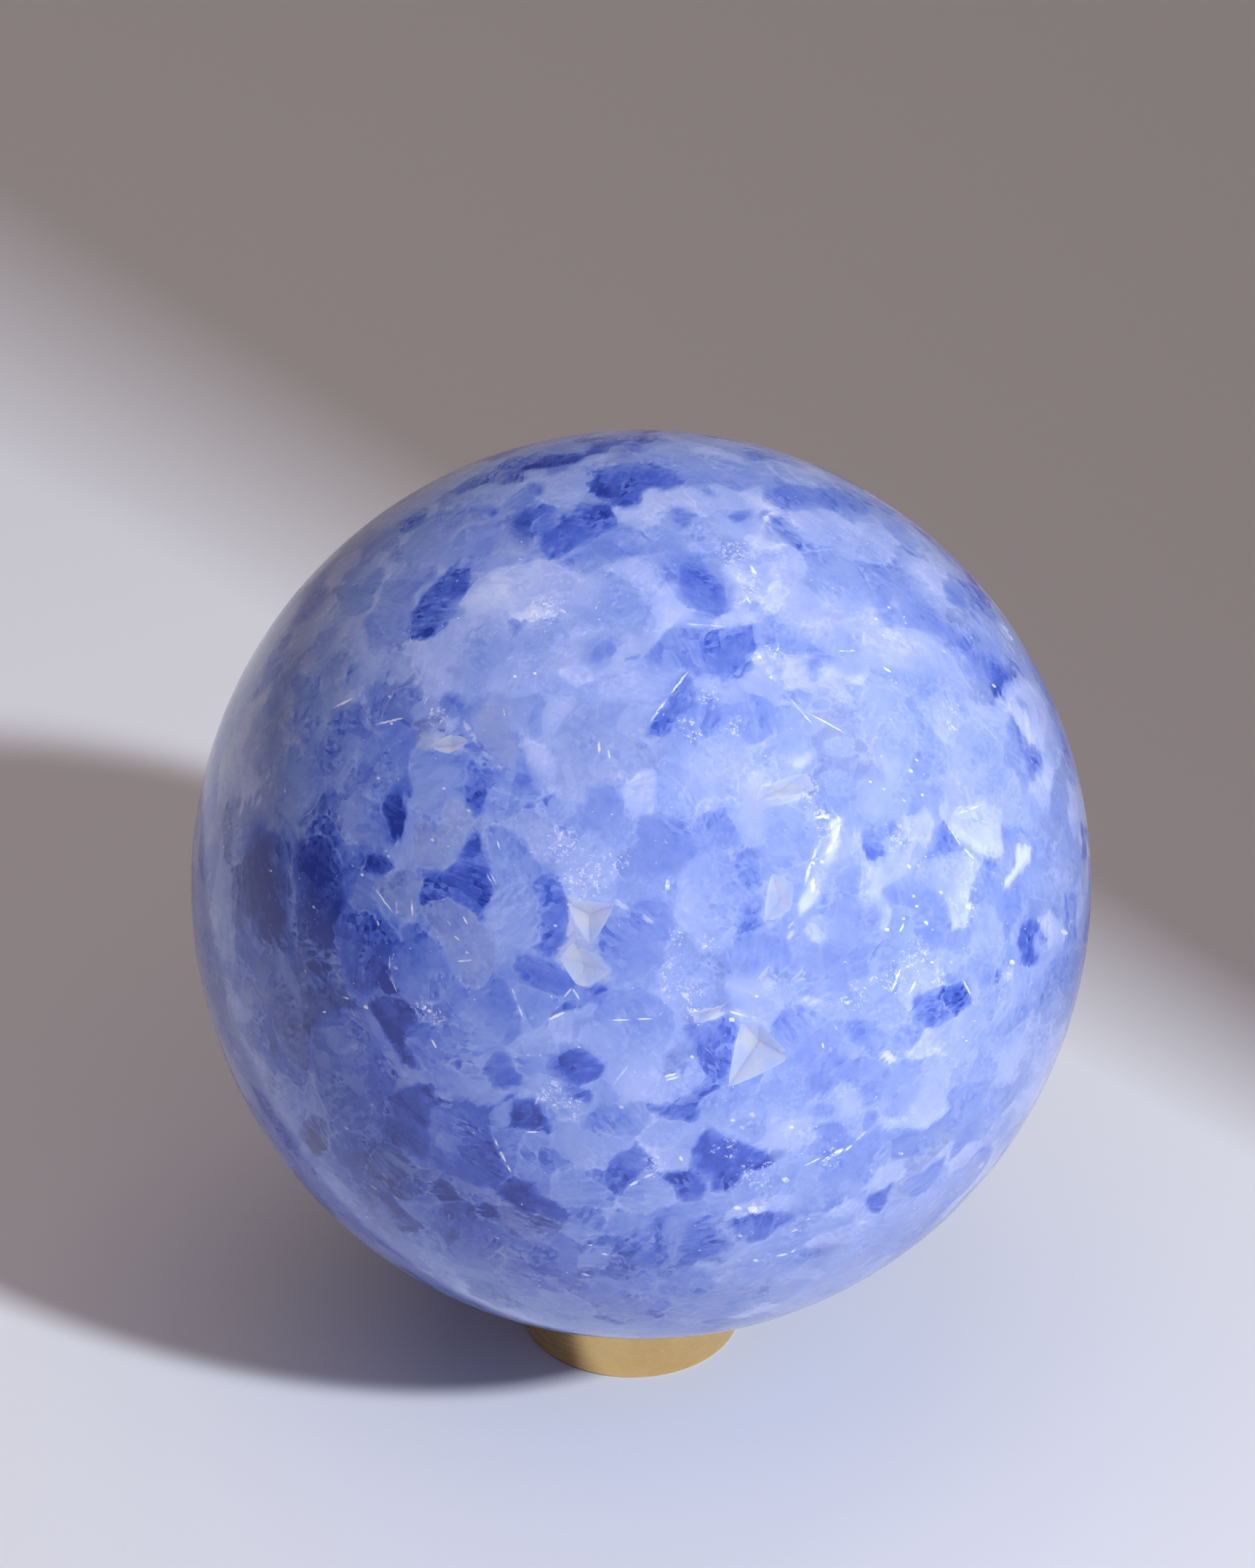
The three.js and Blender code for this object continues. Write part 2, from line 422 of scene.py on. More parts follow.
def place_on_ball(lon, lat):
    """Skin point from the middle, and the east, north and outward directions, at a place."""
    turn, rise = math.radians(lon), math.radians(lat)
    out = np.array([math.cos(rise) * math.sin(turn), -math.cos(rise) * math.cos(turn), math.sin(rise)])
    east = unit(np.cross([0, 0, 1.0], out))
    return out * skin_radius(out[None])[0], east, np.cross(out, east), out


def pit_faces(pit):
    """The pit's tip and the inward normal of each side of its pyramid."""
    point, east, north, out = place_on_ball(pit["lon"], pit["lat"])

    def on_skin(offset):
        direction = unit(point + east * offset[0] + north * offset[1])
        return direction * skin_radius(direction[None])[0]

    tip = on_skin(pit["deepest"]) - out * pit["depth"]
    corners = np.array([on_skin(c) for c in pit["corners"]]) - tip
    normals = unit(np.cross(corners, np.roll(corners, -1, axis=0)))
    inward = np.sign((normals * corners.mean(0)).sum(1, keepdims=True))
    return tip, normals * inward


PIT_FACES = [pit_faces(pit) for pit in PITS]
PIT_NORMALS = np.concatenate([normals for _, normals in PIT_FACES])


def pit_radius(directions):
    """Where the stone ends along each direction, and which pit face it ends at, counted from 1. Only
    directions whose cosine to a pit is near 1 are looked at, and a side almost level with one has no
    crossing."""
    radius = skin_radius(directions)
    face = np.zeros(len(directions), int)
    first_face = 1
    for tip, normals in PIT_FACES:
        near = np.flatnonzero(directions @ unit(tip) > PIT_NEAR)
        along = directions[near] @ normals.T
        reach = np.where(along > ALMOST_LEVEL, (normals @ tip) / np.maximum(along, ALMOST_LEVEL), -1)
        out_of_it = (along <= ALMOST_LEVEL) & (radius[near, None] * along < normals @ tip)
        deepest = np.where(out_of_it.any(1), np.inf, reach.max(1))
        hit = deepest < radius[near]
        radius[near[hit]] = deepest[hit]
        face[near[hit]] = first_face + reach[hit].argmax(1)
        first_face += len(normals)
    return radius, face


def pit_face_at(directions):
    return pit_radius(directions)[1]


directions, triangles, pit_face, _ = cut_along_borders(
    directions, triangles, pit_face_at, np.zeros(len(triangles)))
print((pit_face > 0).sum(), "triangles in", len(PITS), "pits")

# %% [markdown]
# ## The grains that were read off the photo
#
# The stone is a mass of calcite crystals, each a little deeper or milkier blue than the next. The
# grains that give this ball its look were read off the photo one by one. Each has a tone and
# the corners of its outline in pixels of the photo, or an oval's middle, half length, half width and
# tilt. Hazy grains lie below the skin and have no clear border. Later grains lie over earlier ones.
# The tones were judged first, and some were then put right where a render was lighter or
# darker there than the photo. Most of that darkening, on the shaded left and lower side, is
# painted shade.

# %% Grains from the photo
TONES = {"navy": 0.05, "ink": 0.11, "deep": 0.18, "dark": 0.31, "steel": 0.38, "mid": 0.44,
         "soft": 0.50, "ash": 0.55, "light": 0.58, "pale": 0.65, "chip": 0.73, "milky": 0.79,
         "white": 0.93}


def oval(across, down, half_length, half_width, tilt=0, corners=9):
    """Corners of an oval in the picture, tilted by so many degrees, anticlockwise as seen."""
    turns = np.arange(corners) * 2 * np.pi / corners
    x, y = half_length * np.cos(turns), half_width * np.sin(turns)
    c, s = math.cos(math.radians(tilt)), math.sin(math.radians(tilt))
    return np.stack([across + x * c - y * s, down - x * s - y * c], -1)


HAZY_GRAINS = [
    # the shaded left side
    ("navy", [(338, 1160), (352, 1130), (375, 1145), (398, 1165), (398, 1299), (384, 1303), (360, 1286),
              (342, 1250), (332, 1215)]),
    ("deep", [(400, 1150), (450, 1150), (470, 1180), (478, 1245), (460, 1270), (456, 1301), (440, 1310),
              (411, 1290), (405, 1215)]),
    ("navy", oval(450, 1284, 12, 24)),
    ("mid", [(400, 930), (440, 925), (450, 985), (447, 1040), (420, 1045), (402, 1000)]),
    ("dark", [(460, 975), (490, 962), (505, 980), (510, 1000), (480, 1045), (465, 1065), (450, 1060),
              (447, 1010)]),
    ("mid", [(505, 1020), (520, 1005), (545, 1050), (550, 1065), (525, 1090), (480, 1090),
             (470, 1075)]),
    ("mid", [(470, 1100), (500, 1095), (525, 1105), (545, 1165), (520, 1180), (490, 1160),
             (465, 1125)]),
    ("dark", [(467, 1256), (501, 1250), (541, 1279), (545, 1299), (534, 1335), (523, 1361), (503, 1368),
              (485, 1357), (469, 1330), (462, 1294)]),
    ("deep", [(420, 1321), (447, 1321), (465, 1326), (450, 1348), (449, 1368), (438, 1366),
              (425, 1348)]),
    ("mid", [(430, 1420), (500, 1400), (525, 1440), (545, 1480), (530, 1545), (520, 1580), (500, 1600),
             (470, 1590), (450, 1540), (430, 1480)]),
    ("dark", oval(466, 1546, 12, 12)),
    ("dark", [(452, 1560), (489, 1555), (512, 1566), (519, 1580), (503, 1598), (501, 1627), (487, 1629),
              (469, 1604), (454, 1582)]),
    ("deep", [(541, 1627), (554, 1622), (579, 1622), (596, 1636), (585, 1647), (556, 1642)]),
    ("mid", [(578, 1667), (601, 1653), (650, 1653), (661, 1676), (690, 1687), (699, 1700), (690, 1716),
             (650, 1738), (619, 1738), (603, 1707)]),
    # upper left
    ("mid", [(575, 715), (610, 700), (635, 690), (650, 705), (640, 720), (620, 740), (600, 760),
             (560, 790), (540, 800)]),
    ("mid", [(430, 885), (445, 865), (465, 855), (460, 870), (440, 890)]),
    ("dark", oval(545, 765, 12, 10)),
    # top and right
    ("soft", [(740, 770), (800, 775), (860, 790), (900, 830), (880, 870), (820, 860), (760, 830)]),
    ("mid", [(955, 630), (985, 637), (1030, 648), (1080, 660), (1075, 675), (1040, 668), (1000, 655)]),
    ("light", [(1100, 760), (1150, 750), (1190, 790), (1210, 830), (1170, 850), (1120, 820)]),
    ("dark", [(1080, 665), (1120, 668), (1155, 675), (1185, 690), (1200, 700), (1190, 712), (1170, 715),
              (1140, 700), (1085, 700), (1065, 690), (1060, 675)]),
    ("deep", [(930, 775), (960, 772), (980, 785), (1003, 815), (998, 835), (985, 848), (960, 840),
              (935, 820), (928, 800)]),
    ("pale", [(1085, 697), (1130, 700), (1175, 718), (1229, 765), (1205, 775), (1150, 750),
              (1095, 735)]),
    ("pale", [(1130, 850), (1185, 862), (1240, 885), (1300, 905), (1320, 940), (1280, 955), (1220, 940),
              (1160, 920)]),
    ("soft", [(1330, 850), (1370, 890), (1400, 950), (1385, 960), (1345, 930), (1315, 890)]),
    ("pale", [(1190, 940), (1235, 950), (1260, 1000), (1250, 1060), (1215, 1070), (1185, 1020)]),
    ("pale", [(1300, 1000), (1345, 985), (1380, 1030), (1385, 1090), (1340, 1095), (1305, 1060)]),
    ("pale", [(1180, 1075), (1230, 1060), (1255, 1085), (1245, 1125), (1200, 1135), (1175, 1110)]),
    ("soft", [(1230, 800), (1270, 820), (1300, 850), (1340, 880), (1335, 900), (1300, 890),
              (1245, 860)]),
    ("soft", oval(1272, 950, 18, 13)),
    ("mid", oval(1365, 845, 14, 8, -40)),
    ("light", oval(1428, 1155, 7, 24)),
    ("light", oval(1441, 1112, 9, 10)),
    ("dark", [(1451, 973), (1471, 1020), (1471, 1049), (1460, 1040), (1451, 1011)]),
    ("light", [(1402, 1208), (1415, 1190), (1437, 1201), (1449, 1194), (1451, 1235), (1404, 1235)]),
    ("soft", [(1449, 1310), (1493, 1299), (1482, 1339), (1469, 1372), (1449, 1361), (1444, 1330)]),
    ("light", [(1399, 1330), (1442, 1326), (1444, 1361), (1419, 1375), (1417, 1402), (1379, 1428),
               (1364, 1419), (1393, 1375)]),
    ("pale", [(1341, 1384), (1386, 1355), (1395, 1357), (1377, 1388), (1350, 1419), (1323, 1455),
              (1274, 1442), (1279, 1419), (1310, 1399)]),
    ("mid", [(1422, 1379), (1433, 1361), (1437, 1381), (1428, 1402), (1422, 1397)]),
    ("mid", [(1451, 1399), (1460, 1393), (1455, 1406), (1442, 1415)]),
    ("light", [(1408, 1419), (1426, 1413), (1449, 1428), (1431, 1462), (1417, 1457), (1411, 1439)]),
    ("mid", [(1406, 1475), (1419, 1473), (1411, 1495), (1399, 1509), (1399, 1493)]),
    ("soft", [(1310, 1515), (1319, 1500), (1350, 1498), (1377, 1498), (1375, 1518), (1341, 1540),
              (1306, 1540)]),
    ("light", [(1326, 1471), (1346, 1466), (1359, 1475), (1352, 1489), (1330, 1491)]),
    ("mid", [(1370, 1553), (1386, 1526), (1399, 1537), (1386, 1571), (1373, 1580)]),
    ("soft", [(1346, 1524), (1359, 1515), (1375, 1528), (1357, 1553), (1339, 1544)]),
    ("pale", [(1198, 1676), (1225, 1651), (1270, 1640), (1301, 1611), (1341, 1589), (1341, 1609),
              (1310, 1640), (1283, 1671), (1241, 1698)]),
    ("soft", [(1185, 1680), (1216, 1685), (1239, 1700), (1225, 1716), (1198, 1729), (1185, 1738)]),
    ("light", [(1050, 1462), (1105, 1470), (1108, 1522), (1085, 1540), (1058, 1522), (1049, 1495)]),
    # bottom
    ("soft", [(1114, 1671), (1176, 1667), (1174, 1682), (1121, 1705), (1076, 1700), (1087, 1685)]),
    ("soft", [(1000, 1758), (1009, 1738), (1054, 1725), (1112, 1725), (1109, 1738), (1076, 1756),
              (1031, 1776), (1009, 1779)]),
    ("mid", [(1000, 1801), (1009, 1787), (1065, 1781), (1054, 1792), (1009, 1805)]),
    ("mid", [(900, 1779), (908, 1758), (949, 1752), (969, 1749), (984, 1756), (982, 1767),
             (953, 1790)]),
    ("mid", [(699, 1700), (750, 1703), (770, 1716), (797, 1727), (793, 1750), (766, 1756), (730, 1750),
             (719, 1729), (697, 1716)]),
    ("dark", [(875, 1671), (888, 1667), (906, 1685), (917, 1709), (917, 1729), (900, 1743), (866, 1734),
              (833, 1723), (802, 1716), (799, 1705), (833, 1694), (862, 1700)]),
    ("dark", [(942, 1691), (969, 1671), (987, 1698), (1000, 1709), (982, 1725), (949, 1736),
              (935, 1734), (931, 1716)]),
    ("soft", oval(1110, 1626, 18, 12)),
    ("soft", oval(1130, 1525, 18, 14)),
]

CLEAR_GRAINS = [
    # top
    ("navy", [(715, 642), (745, 632), (780, 625), (815, 625), (795, 632), (750, 645), (720, 650)]),
    ("navy", oval(870, 615, 14, 4)),
    ("pale", [(740, 660), (770, 650), (800, 655), (812, 680), (775, 700), (735, 685)]),
    ("milky", [(840, 690), (885, 690), (900, 677), (905, 720), (870, 725), (850, 710)]),
    ("dark", oval(736, 673, 14, 9)),
    ("deep", [(812, 655), (845, 637), (870, 632), (900, 637), (925, 647), (942, 660), (925, 675),
              (890, 677), (885, 690), (860, 697), (838, 692), (815, 680), (808, 668)]),
    ("deep", [(686, 722), (712, 708), (735, 690), (750, 692), (768, 702), (735, 715), (728, 742),
              (712, 735), (700, 727)]),
    ("deep", [(780, 702), (800, 697), (838, 695), (843, 705), (855, 722), (835, 728), (805, 742),
              (785, 755), (765, 772), (750, 770), (738, 750), (740, 738), (765, 728)]),
    ("dark", oval(665, 702, 22, 9)),
    ("mid", [(790, 760), (820, 738), (850, 730), (880, 735), (882, 750), (850, 770), (810, 790),
             (770, 775)]),
    ("dark", [(1015, 615), (1045, 618), (1070, 630), (1055, 635), (1030, 630)]),
    ("dark", [(922, 700), (940, 697), (960, 705), (950, 720), (938, 725), (928, 715)]),
    ("dark", oval(1015, 707, 14, 9, 20)),
    ("dark", oval(1048, 706, 12, 5, 20)),
    ("deep", [(1053, 712), (1075, 708), (1085, 720), (1105, 745), (1100, 760), (1085, 755), (1070, 740),
              (1055, 728)]),
    ("mid", oval(1057, 766, 12, 8)),
    ("light", oval(965, 752, 20, 8, -10)),
    # this white oval and the milky one after it are partly a white crack, partly a painted reflection
    # off its flat face
    ("white", oval(1022, 788, 20, 9, -35)),
    ("milky", oval(1062, 825, 16, 22, -30)),
    # upper left
    ("light", [(660, 770), (690, 755), (725, 760), (715, 780), (725, 805), (705, 810), (680, 795),
               (640, 785)]),
    ("milky", [(650, 800), (690, 785), (740, 770), (800, 790), (825, 800), (820, 840), (770, 850),
               (700, 850), (630, 830)]),
    ("white", [(705, 848), (735, 832), (765, 850), (740, 855)]),
    ("mid", [(500, 850), (510, 835), (535, 800), (560, 785), (600, 775), (600, 800), (570, 815),
             (565, 880), (545, 895), (505, 900)]),
    ("mid", [(455, 815), (500, 795), (528, 780), (532, 800), (505, 840), (470, 845)]),
    ("deep", [(620, 775), (650, 780), (648, 795), (628, 835), (630, 845), (610, 860), (595, 875),
              (565, 880), (560, 850), (575, 830), (600, 800)]),
    ("dark", [(540, 722), (565, 705), (590, 700), (590, 715), (555, 735)]),
    ("pale", [(530, 905), (545, 895), (570, 900), (560, 925), (548, 940), (535, 925)]),
    ("light", [(735, 860), (765, 865), (755, 890), (720, 890), (700, 875)]),
    ("dark", [(805, 897), (818, 885), (835, 880), (848, 888), (850, 900), (830, 910), (808, 908)]),
    ("mid", oval(870, 905, 9, 6)),
    # upper right
    ("mid", oval(1218, 697, 22, 10, -35)),
    ("soft", [(1205, 715), (1235, 720), (1255, 740), (1270, 760), (1245, 755), (1225, 740)]),
    ("milky", [(1255, 775), (1270, 770), (1285, 785), (1300, 810), (1290, 815), (1270, 800)]),
    ("soft", [(1295, 795), (1320, 810), (1330, 830), (1330, 848), (1303, 822)]),
    ("deep", oval(1345, 808, 30, 7, -50)),
    ("milky", [(1185, 870), (1230, 865), (1265, 870), (1300, 880), (1290, 900), (1240, 915),
               (1190, 915)]),
    ("light", oval(1160, 885, 18, 12)),
    ("deep", [(1359, 908), (1375, 912), (1399, 935), (1381, 944), (1376, 964), (1364, 945),
              (1360, 925)]),
    ("dark", oval(1396, 917, 12, 4, -60)),
    ("milky", [(1377, 953), (1382, 942), (1393, 936), (1406, 931), (1419, 949), (1433, 964),
               (1437, 984), (1436, 1033), (1413, 1024), (1399, 1000), (1388, 984)]),
    ("light", oval(1405, 966, 12, 5, -60)),
    ("dark", [(1383, 982), (1390, 989), (1408, 1024), (1426, 1033), (1431, 1051), (1422, 1069),
              (1415, 1060), (1404, 1033), (1393, 1011)]),
    ("deep", [(1484, 1127), (1495, 1141), (1496, 1185), (1484, 1183), (1483, 1152)]),
    # left, above the middle
    ("pale", [(412, 915), (425, 912), (418, 928)]),
    ("ash", [(447, 945), (470, 935), (480, 945), (478, 955), (465, 965), (455, 978)]),
    ("dark", [(480, 915), (497, 910), (500, 925), (490, 945), (478, 948), (473, 938)]),
    ("dark", [(500, 935), (525, 930), (535, 945), (532, 960), (525, 985), (515, 1000), (505, 970)]),
    ("navy", [(525, 1095), (547, 1087), (565, 1122), (555, 1135), (550, 1155), (540, 1160),
              (528, 1120)]),
    ("dark", [(450, 1065), (465, 1080), (470, 1100), (462, 1130), (450, 1110)]),
    ("deep", [(505, 1180), (530, 1175), (545, 1190), (530, 1205), (500, 1200)]),
    ("dark", [(605, 968), (612, 955), (630, 955), (642, 965), (638, 980), (625, 988), (610, 985)]),
    ("chip", [(570, 1025), (578, 1008), (608, 1008), (618, 1030)]),
    ("soft", [(610, 1005), (640, 1005), (648, 1015), (620, 1030)]),
    ("ash", [(650, 990), (670, 972), (695, 970), (705, 1000), (715, 1040), (700, 1060), (680, 1050),
             (665, 1020)]),
    ("mid", [(565, 1030), (620, 1032), (645, 1035), (675, 1060), (685, 1072), (680, 1085), (668, 1115),
             (650, 1132), (635, 1105), (615, 1098), (600, 1120), (565, 1110)]),
    ("dark", [(645, 1038), (675, 1060), (685, 1072), (668, 1115), (650, 1130), (638, 1100)]),
    ("deep", [(703, 1070), (712, 1063), (722, 1068), (725, 1082), (715, 1092)]),
    ("soft", [(665, 1110), (680, 1085), (705, 1090), (720, 1100), (715, 1125), (700, 1132),
              (662, 1130)]),
    ("ash", [(605, 1115), (615, 1098), (635, 1105), (650, 1132), (640, 1145), (620, 1150)]),
    ("ash", [(565, 1130), (600, 1125), (640, 1145), (640, 1160), (630, 1180), (615, 1195),
             (565, 1195)]),
    ("deep", [(575, 1205), (610, 1200), (630, 1180), (645, 1145), (657, 1140), (665, 1165), (680, 1200),
              (681, 1227), (670, 1238), (665, 1270), (639, 1250), (610, 1238), (578, 1247),
              (569, 1215)]),
    ("soft", [(660, 1135), (700, 1140), (720, 1150), (730, 1180), (745, 1200), (730, 1225), (690, 1215),
              (680, 1190)]),
    ("soft", [(723, 985), (735, 965), (750, 958), (748, 980), (752, 1005), (740, 1018), (725, 1010)]),
    ("milky", [(770, 925), (800, 912), (815, 935), (790, 945)]),
    ("light", oval(775, 1115, 30, 22)),
    ("soft", [(805, 1085), (845, 1080), (858, 1100), (855, 1130), (830, 1145), (800, 1140)]),
    ("milky", [(855, 1085), (880, 1060), (900, 1060), (900, 1120), (870, 1125)]),
    ("ash", [(514, 1215), (545, 1196), (566, 1198), (578, 1215), (568, 1264), (549, 1264)]),
    # middle
    ("milky", [(980, 853), (990, 843), (1030, 845), (1052, 836), (1046, 856), (1034, 860), (985, 862)]),
    ("mid", oval(896, 853, 11, 14)),
    ("steel", [(879, 903), (890, 894), (928, 862), (985, 863), (1034, 860), (1044, 890), (1038, 904),
               (1034, 918), (1010, 938), (991, 936), (976, 927), (958, 933), (946, 921), (894, 918)]),
    ("dark", [(964, 891), (970, 869), (985, 865), (1030, 862), (1043, 888), (1039, 903), (1022, 924),
              (998, 936), (979, 924), (967, 909)]),
    ("dark", [(942, 924), (952, 933), (958, 957), (952, 972), (931, 991), (913, 1009), (895, 1012),
              (890, 1003), (901, 978), (919, 948)]),
    ("mid", [(970, 951), (985, 960), (989, 988), (979, 1003), (961, 1003), (955, 988)]),
    ("milky", [(1046, 905), (1053, 911), (1068, 937), (1058, 930)]),
    ("white", [(1036, 904), (1043, 892), (1047, 905), (1040, 911)]),
    # this white patch is partly a white crack, partly a painted reflection off its flat face
    ("white", [(1137, 1130), (1158, 1121), (1154, 1138), (1142, 1176), (1137, 1186), (1134, 1172),
               (1143, 1148)]),
    ("soft", [(1108, 910), (1128, 905), (1133, 920), (1120, 940)]),
    ("light", oval(1125, 970, 14, 10)),
    ("soft", [(1163, 970), (1175, 968), (1178, 1000), (1168, 1000)]),
    ("light", oval(1118, 1000, 16, 12)),
    ("light", oval(1155, 1030, 20, 16)),
    ("soft", oval(1055, 1038, 26, 8, 45)),
    ("light", [(1130, 1065), (1160, 1060), (1170, 1080), (1165, 1095), (1140, 1095)]),
    ("mid", [(985, 1105), (1000, 1110), (1008, 1135), (988, 1130)]),
    ("mid", [(875, 1128), (900, 1122), (945, 1125), (948, 1145), (960, 1160), (955, 1175), (935, 1190),
             (920, 1205), (900, 1210), (880, 1200)]),
    ("pale", [(930, 1205), (950, 1180), (975, 1165), (1003, 1180), (1010, 1216), (1040, 1235),
              (1010, 1260), (990, 1290), (960, 1300), (930, 1260)]),
    ("light", [(1055, 1110), (1080, 1100), (1118, 1125), (1128, 1140), (1110, 1180), (1075, 1198),
               (1058, 1190), (1048, 1130)]),
    ("mid", [(1005, 1175), (1030, 1165), (1045, 1170), (1049, 1214), (1036, 1225), (1015, 1220)]),
    ("mid", [(1180, 1140), (1205, 1142), (1214, 1154), (1216, 1170), (1205, 1188), (1192, 1181),
             (1185, 1165)]),
    ("dark", [(1186, 1165), (1212, 1168), (1204, 1186), (1194, 1181)]),
    ("mid", [(875, 1236), (900, 1234), (917, 1239), (929, 1272), (924, 1288), (909, 1317), (882, 1346),
             (864, 1350), (851, 1361), (842, 1332), (822, 1312), (815, 1299), (835, 1254),
             (864, 1263)]),
    ("soft", oval(873, 1220, 14, 14)),
    ("light", [(681, 1234), (699, 1216), (721, 1209), (737, 1234), (744, 1294), (730, 1303),
               (699, 1303), (690, 1330), (672, 1288), (663, 1254), (670, 1238)]),
    ("dark", [(726, 1216), (739, 1205), (759, 1205), (773, 1225), (783, 1272), (777, 1292), (759, 1317),
              (730, 1303), (744, 1294), (744, 1250)]),
    ("ash", [(578, 1247), (610, 1238), (639, 1250), (668, 1274), (683, 1312), (681, 1337), (654, 1361),
             (632, 1348), (625, 1330), (610, 1299), (594, 1290)]),
    ("mid", [(552, 1270), (572, 1268), (592, 1290), (601, 1299), (628, 1348), (610, 1375), (568, 1377),
             (552, 1372), (539, 1350), (536, 1312)]),
    ("mid", [(628, 1348), (654, 1361), (681, 1337), (699, 1348), (708, 1370), (719, 1419), (699, 1439),
             (665, 1428), (639, 1399), (612, 1377)]),
    ("dark", [(708, 1317), (726, 1310), (755, 1319), (773, 1330), (788, 1337), (791, 1350), (779, 1366),
              (759, 1371), (735, 1361), (715, 1348), (703, 1332)]),
    ("soft", [(712, 1350), (735, 1361), (759, 1372), (777, 1371), (775, 1379), (741, 1413), (726, 1413),
              (712, 1370)]),
    ("deep", [(808, 1359), (820, 1352), (833, 1352), (840, 1361), (833, 1368), (813, 1366)]),
    ("pale", [(753, 1402), (779, 1390), (806, 1381), (824, 1381), (808, 1399), (788, 1406), (788, 1433),
              (766, 1433), (757, 1417)]),
    ("soft", [(788, 1402), (806, 1397), (799, 1419), (799, 1431), (786, 1431)]),
    ("light", [(701, 1437), (721, 1419), (750, 1406), (766, 1431), (766, 1448), (712, 1448)]),
    # below the middle, left
    ("navy", [(523, 1348), (530, 1337), (534, 1341), (536, 1352), (552, 1370), (523, 1366)]),
    ("deep", [(503, 1375), (527, 1370), (552, 1375), (565, 1384), (577, 1402), (556, 1433), (534, 1433),
              (525, 1419), (510, 1388)]),
    ("deep", oval(484, 1399, 20, 4, -15)),
    ("light", [(503, 1395), (519, 1399), (539, 1437), (563, 1471), (590, 1471), (592, 1484),
               (554, 1493), (539, 1469), (523, 1442)]),
    ("light", [(558, 1431), (575, 1425), (594, 1451), (610, 1466), (623, 1466), (639, 1480),
               (659, 1480), (674, 1493), (639, 1513), (619, 1511), (598, 1500), (590, 1471),
               (565, 1439)]),
    ("deep", [(552, 1446), (563, 1443), (574, 1464), (568, 1469), (554, 1462)]),
    ("mid", [(605, 1404), (639, 1402), (652, 1419), (648, 1437), (610, 1428)]),
    ("mid", oval(632, 1464, 10, 8)),
    ("dark", [(525, 1511), (550, 1500), (592, 1484), (598, 1502), (619, 1513), (594, 1528), (594, 1560),
              (590, 1595), (565, 1578), (543, 1575), (532, 1545)]),
    ("mid", [(594, 1525), (640, 1515), (672, 1520), (668, 1545), (681, 1573), (695, 1600), (703, 1613),
             (679, 1633), (650, 1631), (610, 1613), (590, 1595)]),
    ("dark", [(672, 1448), (690, 1442), (703, 1451), (708, 1471), (721, 1477), (721, 1486), (708, 1498),
              (690, 1498), (677, 1495), (668, 1469)]),
    ("soft", [(703, 1446), (750, 1451), (748, 1464), (744, 1475), (726, 1484), (708, 1471)]),
    ("deep", [(768, 1451), (788, 1442), (802, 1439), (813, 1448), (831, 1457), (833, 1473), (822, 1486),
              (802, 1493), (788, 1489), (773, 1473), (750, 1462)]),
    ("light", [(799, 1419), (811, 1399), (833, 1379), (853, 1364), (878, 1355), (900, 1362),
               (920, 1381), (927, 1395), (924, 1428), (918, 1455), (900, 1500), (884, 1518),
               (871, 1514), (853, 1510), (840, 1493), (829, 1484), (833, 1466), (817, 1446),
               (802, 1437)]),
    ("soft", [(802, 1493), (829, 1484), (842, 1495), (851, 1511), (833, 1518), (811, 1498)]),
    ("pale", [(719, 1493), (739, 1473), (759, 1477), (779, 1489), (811, 1500), (817, 1518), (799, 1533),
              (753, 1540), (741, 1522), (721, 1515), (681, 1502), (699, 1498)]),
    ("dark", [(770, 1490), (790, 1490), (811, 1502), (815, 1516), (805, 1522), (790, 1510)]),
    ("soft", [(672, 1557), (699, 1551), (719, 1555), (712, 1582), (712, 1600), (701, 1611),
              (690, 1589)]),
    ("light", [(670, 1535), (686, 1519), (703, 1515), (703, 1528), (699, 1548), (672, 1555)]),
    ("deep", [(699, 1532), (717, 1515), (735, 1515), (751, 1540), (750, 1548), (744, 1555), (721, 1555),
              (703, 1548)]),
    ("light", [(721, 1557), (746, 1557), (753, 1573), (782, 1598), (779, 1611), (759, 1640),
               (744, 1647), (721, 1627), (703, 1613), (712, 1600), (719, 1562)]),
    ("mid", [(737, 1582), (759, 1580), (782, 1598), (775, 1609), (762, 1620), (744, 1615),
             (735, 1598)]),
    ("pale", [(753, 1542), (788, 1540), (797, 1551), (840, 1562), (875, 1560), (875, 1569), (844, 1586),
              (829, 1600), (795, 1609), (782, 1598), (755, 1575)]),
    ("mid", [(799, 1535), (822, 1522), (851, 1517), (878, 1517), (887, 1528), (891, 1540), (878, 1560),
             (842, 1562), (799, 1553)]),
    ("soft", [(808, 1607), (829, 1602), (831, 1620), (822, 1629), (811, 1620)]),
    ("light", [(782, 1598), (795, 1609), (808, 1607), (813, 1622), (829, 1629), (849, 1647),
               (842, 1667), (797, 1658), (755, 1647), (762, 1620)]),
    ("dark", [(829, 1600), (851, 1582), (873, 1570), (891, 1589), (893, 1604), (878, 1618), (862, 1631),
              (855, 1645), (833, 1631), (829, 1615)]),
    ("pale", [(849, 1649), (864, 1631), (893, 1611), (908, 1618), (924, 1633), (931, 1653), (911, 1660),
              (900, 1669), (878, 1669), (855, 1658)]),
    ("ash", [(679, 1660), (690, 1649), (708, 1658), (728, 1671), (748, 1671), (773, 1684), (779, 1691),
             (750, 1694), (721, 1698), (692, 1682)]),
    ("deep", [(679, 1633), (703, 1617), (726, 1627), (732, 1631), (741, 1647), (759, 1653), (775, 1660),
              (780, 1669), (777, 1680), (766, 1682), (748, 1671), (728, 1671), (721, 1667),
              (690, 1649)]),
    ("mid", [(782, 1658), (799, 1658), (829, 1667), (837, 1680), (824, 1689), (802, 1685),
             (777, 1682)]),
    ("dark", [(844, 1665), (849, 1660), (866, 1667), (853, 1671)]),
    ("light", [(837, 1680), (844, 1669), (878, 1669), (900, 1676), (900, 1705), (855, 1700),
               (829, 1691)]),
